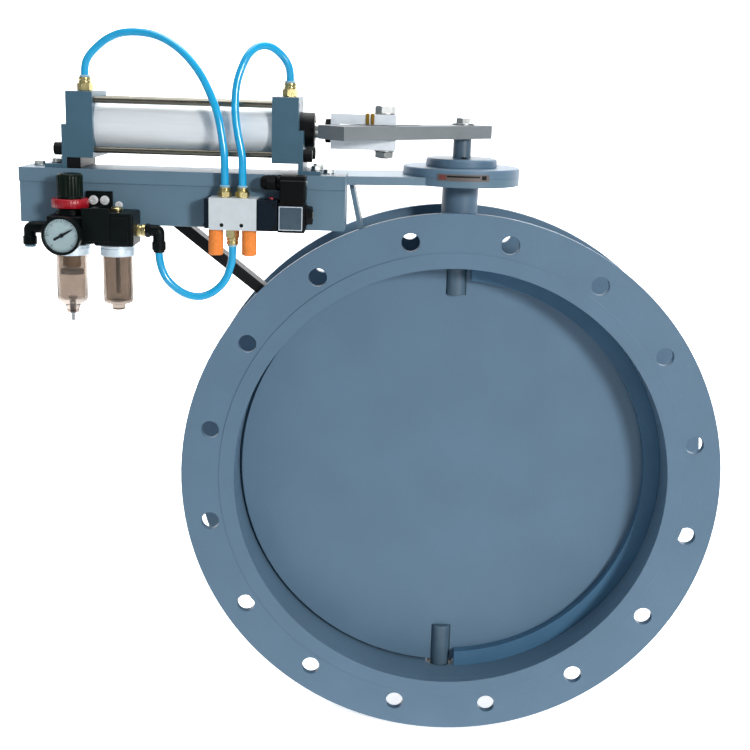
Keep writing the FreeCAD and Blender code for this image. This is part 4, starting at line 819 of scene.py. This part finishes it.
def bowls():
    fx, fy = FILTER_AXIS.x, FILTER_AXIS.y
    ox = OILER_AXIS.x
    low, high = span("filter_bowl")
    top = high.z
    radius = (high.x - low.x) / 2
    base = low.z + 9
    tall = top - base
    tip = radius - 7
    wall, core, siphon, collar = 2, 31, 50, 11
    outside = [(tip - 2, -9), (tip - 1.4, -6), (tip + 0.6, -2), (radius - 2.2, 0.2), (radius - 0.4, 2.4),
               (radius, 5), (radius, tall)]
    inside = [(radius - wall, tall), (radius - wall, 5.4), (radius - wall - 1.4, 3.6), (2.7, 2.2),
              (2.7, -9)]
    lathe("filter_cup", outside + inside, (fx, fy, base), Z, BOWL, steps=64, replaces=("filter_bowl",),
          sharp=50)
    low, high = span("lubricator_bowl")
    radius = (high.x - low.x) / 2
    base = low.z + 7
    tall = top - base
    outside = [(0, 0), (radius - 3, 0), (radius - 0.8, 1), (radius, 3.4), (radius, tall)]
    inside = [(radius - wall, tall), (radius - wall, 4.4), (radius - wall - 1, 3.2), (0, 3.0)]
    lathe("oiler_cup", outside + inside, (ox, fy, base), Z, OIL_BOWL, steps=64,
          replaces=("lubricator_bowl",), sharp=50)
    lathe("oiler_cap", [(0, -7), (5.4, -7), (6.6, -6.2), (6.9, -2), (6.9, 0), (0, 0)], (ox, fy, base), Z,
          OIL_BOWL, sharp=50)
    lathe("filter_core", [(0, 7), (9, 7), (9, 24), (5, 24.6), (5, core), (0, core)], (fx, fy, top - core),
          Z, GOLD, steps=60, replaces=("bowl_inserts",), bevel=0.5)
    lathe("filter_baffle", [(0, 0), (12.2, 0), (12.4, 1), (11.8, 3.6), (4, 4.6), (4, 7), (0, 7)],
          (fx, fy, top - core), Z, WHITE_PLASTIC, flutes=12, flute_depth=0.6, sharp=50)
    lathe("siphon", [(1.2, 0), (2.2, 0), (2.2, siphon), (1.2, siphon)], (ox, fy, top - siphon), Z,
          WHITE_PLASTIC)
    for name, x, size, cup in (("filter_collar", fx, 19.5, 15.6), ("oiler_collar", ox, 17.5, 15.1)):
        profile = [(cup, 0), (size - 0.6, 0), (size, 0.7), (size, 7.4), (size - 0.7, 8.0),
                   (size - 0.7, 8.8), (size, 9.4), (size, 10.6), (cup, 10.6)]
        lathe(name, profile, (x, fy, top - collar), Z, COLLAR, steps=72,
              replaces=("bowl_collars",) if x == fx else (), bevel=0.25)
    drain = span("drain_valve")[0].z
    lathe("drain_tail", [(0, 0), (1.6, 0), (2.1, 1.2), (2.1, 2.2), (1.7, 2.6), (2.2, 4.2), (2.2, 5.2),
                         (1.8, 5.6), (2.4, 7.4), (2.45, 22.6), (4.9, 22.9), (4.9, 24.6), (0, 24.6)],
          (fx, fy, drain), Z, ALLOY, body="drain", replaces=("drain_valve",), sharp=40)
    lathe("drain_skirt", [(2.75, 0), (6.0, 0), (6.4, 1.2), (6.4, 3), (2.75, 3)], (fx, fy, base - 11.2), Z,
          BOWL, sharp=50)


def elbows():
    """Two black push-in elbows, each a smooth quarter bend with its sleeve."""
    y, z = FILTER_AXIS.y, 284
    nipple = 9
    for name, face, side, reach, drop, sleeve in (
            ("inlet", REGULATOR[0].x, -1, 22, 20, SLEEVE),
            ("outlet", OILER[1].x + nipple, 1, 13, 22, BLACK_STEEL)):
        corner = face + side * reach
        points = [(face + side * 1.5, y, z), (face + side * reach * 0.5, y, z), (corner, y, z),
                  (corner, y, z - 6), (corner, y, z - drop + 8)]
        metres = [[value * MM for value in point] for point in points]
        bend = round_run(f"{name}_elbow_bend", metres, radius=6.0 * MM, smooth=16)
        bend.data.use_fill_caps = True
        settle(bend, UNIT_BLACK, ROOT, ("push_in_elbows",) if name == "inlet" else ())
        lathe(f"{name}_elbow_collar", [(4.1, 0), (6.6, 0), (7, 0.6), (7, 8), (6.2, 9), (4.1, 9)],
              (corner, y, z - drop + 2.4), Z, UNIT_BLACK, bevel=0.3)
        lathe(f"{name}_elbow_sleeve", [(4.1, 0), (5.4, 0), (5.9, 0.8), (5.5, 2.4), (4.1, 2.4)],
              (corner, y, z - drop), Z, sleeve, bevel=0.15)
        hex_piece(f"{name}_elbow_nut", 12.4, 4.5, (face, y, z), X * side, BLACK_STEEL, top="both", turn=0.2)
    lathe("outlet_nipple", [(0, 0), (6.4, 0), (6.4, 2.4), (5.2, 2.8), (5.2, 5.4), (6.4, 5.8), (6.4, 8.8),
                            (0, 8.8)], (OILER[1].x, y, z), X, BRASS, bevel=0.3)


# ---- solenoid valve

def valve_parts():
    front, hole_z = VALVE[0].y, 292
    for count, x in enumerate((-246, -226)):
        lathe(f"block_eyelet_{count}", [(1.9, -0.5), (2.7, -0.5), (2.9, 0.12), (2.0, 0.2)],
              (x, front, hole_z), -Y, BLOCK)
        # A black disc sits in each mounting hole: painted shade standing in for the hole's dark inside.
        lathe(f"block_hole_shade_{count}", [(0, -0.6), (2.1, -0.6), (2.1, 0.08), (0, 0.08)], (x, front, hole_z),
              -Y, BLACK_PAINT)
    for count, z in enumerate((291, 315)):
        screw_head(f"end_screw_{count}", 2.2, 1.2, (VALVE[0].x - 5, VALVE_MID.y - 8 + 16 * count, z), -X,
                   BLACK_STEEL)
    rail = VALVE[0].z + 28.5
    block("block_rail", (VALVE[0].x + 1.5, front - 0.35, rail),
          (VALVE[1].x - 1.5, front + 0.5, rail + 1.5), BLOCK, bevel=0.2)
    low, high = span("silencers")
    for count, x in enumerate((low.x + 7.5, high.x - 7.5)):
        profile = [(0, -2), (7.1, -2), (7.1, 0.6), (7.5, 1), (7.5, 25), (7.0, 26.4), (5.6, 27), (0, 27)]
        lathe(f"silencer_{count}", profile, (x, VALVE_MID.y, VALVE[0].z), -Z, ORANGE, flutes=28,
              flute_depth=0.22, replaces=("silencers",) if count == 0 else (), sharp=50)
    button = middle("override_button")
    lathe("red_button", [(0, -9), (2.4, -9), (2.4, -0.7), (2.1, -0.2), (1.4, 0), (0, 0)],
          (button.x, button.y, span("override_button")[1].z), Z, RED, body="button",
          replaces=("override_button",), sharp=50)
    lathe("button_bezel", [(2.75, 0), (4.2, 0), (3.9, 0.9), (2.75, 0.9)],
          (button.x, button.y, span("pilot_blocks")[1].z), Z, NAVY)
    pilot = span("pilot_blocks")[1]
    for count, z in enumerate((291, 313)):
        lathe(f"pilot_seam_{count}", [(0, -0.3), (1.5, -0.3), (1.7, 0.25), (0, 0.35)],
              (pilot.x - 3.2, front, z), -Y, BLACK_STEEL)


def coil_parts():
    low, high = span("coil")
    block("coil_moulding", low, high, COIL_BLACK, bevel=2.0, segments=3, replaces=("coil",))
    front = low.y
    block("coil_frame", (low.x + 1.6, front - 0.25, low.z + 2.6), (high.x - 2.6, front + 0.6, high.z - 3.4),
          COLLAR, bevel=0.25)
    block("coil_label", (low.x + 2.4, front - 0.42, low.z + 3.4), (high.x - 3.4, front + 0.6, high.z - 4.2),
          LABEL, bevel=0.2)
    for count in range(3):
        z = low.z + 5 + count * 9.6
        block(f"coil_fin_{count}", (high.x - 1, front + 3, z), (high.x + 0.45, high.y - 3, z + 2.2),
              COIL_BLACK, bevel=0.4)
    x, y, z = high.x, VALVE_MID.y, VALVE_MID.z
    lathe("coil_washer", [(3, 0), (10.4, 0), (10.4, 1.2), (3, 1.2)], (x + 0.3, y, z), X, BLACK_STEEL,
          bevel=0.3)
    hex_piece("coil_nut", 16.4, 5.6, (x + 1.5, y, z), X, BLACK_STEEL, turn=0.2)
    lathe("coil_stem_end", [(0, 0), (3.6, 0), (3.6, 0.8), (2.9, 1.3), (0, 1.3)], (x + 6.6, y, z), X, ZINC)


def connector_parts():
    low, high = span("connector")
    shell_left = span("coil")[0].x + 2
    y0, y1 = low.y, high.y
    bottom, top = low.z, high.z
    cap = 5
    block("plug_housing", (shell_left, y0, bottom), (high.x, y1, top - cap), COIL_BLACK, bevel=1.8,
          segments=3, replaces=("connector",))
    block("plug_seam", (shell_left + 0.7, y0 + 0.7, top - cap - 0.8),
          (high.x - 0.7, y1 - 0.7, top - cap + 0.8), SEAL, bevel=0.2)
    block("plug_lid", (shell_left + 0.2, y0 + 0.2, top - cap + 0.3), (high.x - 0.2, y1 - 0.2, top),
          COIL_BLACK, bevel=1.6, segments=3)
    block("plug_gasket", (shell_left + 1, y0 + 1, bottom - 0.2), (high.x - 1, y1 - 1, bottom + 0.9), SEAL,
          bevel=0.3)
    y, z = -67, bottom + 19
    gland = shell_left - low.x
    lathe("gland_collar", [(3.6, -1), (8, -1), (8, 3), (7.2, 3.6), (3.6, 3.6)], (shell_left, y, z), -X,
          COIL_BLACK, bevel=0.3)
    hex_piece("gland_nut", 14.6, 9.6, (shell_left - 4.4, y, z), -X, COIL_BLACK, top="both", bore=3.7,
              turn=0.1)
    lathe("gland_dome", [(3.6, 0), (7.4, 0), (6.8, 3.4), (5.2, gland - 14), (3.6, gland - 14)],
          (shell_left - 14, y, z), -X, COIL_BLACK, bevel=0.4)
    lathe("gland_grommet", [(3.5, -3), (4.8, -3), (4.8, -0.6), (3.5, -0.6)], (low.x, y, z), -X, SEAL,
          bevel=0.2)
    screw_head("plug_screw", 2.6, 1.4, (high.x - 0.2, (y0 + y1) / 2, top - 8), X, ZINC, recess="slot")


# ---- camera, light and floor

def camera():
    eye = bpy.data.cameras.new("front_view")
    eye.sensor_width = 36
    eye.lens = 60.03
    eye.clip_start = 0.05
    obj = bpy.data.objects.new("front_view", eye)
    right, up = Vector((0.9995, 0.0158, 0.0291)), Vector((-0.032, 0.234, 0.9717))
    back = Vector((0.0086, -0.9721, 0.2344))
    spot = Matrix((right, up, back)).transposed().to_4x4()
    spot.translation = Vector((-0.0758, -1.3369, 0.4451))
    obj.matrix_world = spot
    bpy.context.scene.collection.objects.link(obj)
    bpy.context.scene.camera = obj


def area_light(name, spot, target, size, power, tint):
    lamp = bpy.data.lights.new(name, "AREA")
    lamp.shape = "SQUARE"
    lamp.size = size
    lamp.energy = power
    lamp.color = tint
    obj = bpy.data.objects.new(name, lamp)
    obj.location = spot
    obj.rotation_euler = (Vector(target) - Vector(spot)).to_track_quat("-Z", "Y").to_euler()
    bpy.context.scene.collection.objects.link(obj)


def studio():
    centre = (-0.05, 0, 0.05)
    area_light("key", (2.45, -3.7, 1.45), centre, 0.7, 166, (1.0, 0.97, 0.94))
    area_light("fill", (-1.7, -1.7, 0.5), centre, 1.6, 2, (0.78, 0.9, 1.0))
    area_light("top", (-0.4, -0.1, 2.2), centre, 1.4, 18, (1.0, 0.99, 0.97))
    area_light("back", (0.3, 1.6, 2.6), (0, 2.2, -0.3), 2.5, 70, (1.0, 1.0, 1.0))
    world = bpy.data.worlds.new("studio")
    bpy.context.scene.world = world
    world.use_nodes = True
    tree = world.node_tree
    back = tree.nodes["Background"]
    place = tree.nodes.new("ShaderNodeTexCoord")
    parts = tree.nodes.new("ShaderNodeSeparateXYZ")
    tree.links.new(place.outputs["Generated"], parts.inputs["Vector"])
    height = remap(tree, parts.outputs["Z"], 0.0, 1.0, -0.1, 0.5)
    sky = blend_colours(tree, height, [0.14, 0.17, 0.2, 1.0], [0.62, 0.68, 0.75, 1.0])
    tree.links.new(sky, back.inputs["Color"])
    back.inputs["Strength"].default_value = 0.36
    reach, front, deep, rise, floor = 8.0, 12.0, 3.2, 4.0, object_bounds()[0][2] - 0.001
    bend, steps = 1.2, 12
    side = [(-front, floor)]
    for step in range(steps + 1):
        angle = math.pi / 2 * step / steps
        side.append((deep - bend + bend * math.sin(angle), floor + bend - bend * math.cos(angle)))
    side.append((deep, rise))
    verts = [(x, y, z) for x in (-reach, reach) for y, z in side]
    count = len(side)
    faces = [(i, i + 1, count + i + 1, count + i) for i in range(count - 1)]
    mesh = bpy.data.meshes.new("backdrop")
    mesh.from_pydata(verts, [], faces)
    mesh.polygons.foreach_set("use_smooth", [True] * len(mesh.polygons))
    # the floor glows behind the object and far in front; between them it gives no light and is greyer
    white = surface("floor_white", "", 0xF2F2F2, 0.9, mottle=0.01, patch=3, grain=0.05, fine=60,
                    Emission_Color=(1.0, 1.0, 1.0, 1.0))
    glow = white.node_tree
    shader = glow.nodes["Principled BSDF"]
    spot = glow.nodes.new("ShaderNodeTexCoord")
    axes = glow.nodes.new("ShaderNodeSeparateXYZ")
    glow.links.new(spot.outputs["Object"], axes.inputs["Vector"])
    depth = axes.outputs["Y"]
    both = glow.nodes.new("ShaderNodeMath")
    glow.links.new(remap(glow, depth, 0.0, 0.92, -0.25, 0.12), both.inputs[0])
    glow.links.new(remap(glow, depth, 0.6, 0.0, -4.0, -1.8), both.inputs[1])
    glow.links.new(both.outputs["Value"], shader.inputs["Emission Strength"])
    tint = shader.inputs["Base Color"].links[0].from_socket
    near = blend_colours(glow, remap(glow, depth, 0.0, 1.0, -0.9, -0.4), [0.42, 0.44, 0.46, 1.0], tint)
    glow.links.new(near, shader.inputs["Base Color"])
    mesh.materials.append(white)
    backdrop = bpy.data.objects.new("backdrop", mesh)
    bpy.context.scene.collection.objects.link(backdrop)
    backdrop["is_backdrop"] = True
    bpy.context.scene.view_settings.view_transform = "Standard"


camera()
hoses()
carry_over()
welds()
indicator()
bracket_parts()
bolt_set()
cylinder_parts()
linkage_parts()
fittings()
unit_heads()
knob_parts()
gauge_parts()
bowls()
elbows()
valve_parts()
coil_parts()
connector_parts()
studio()
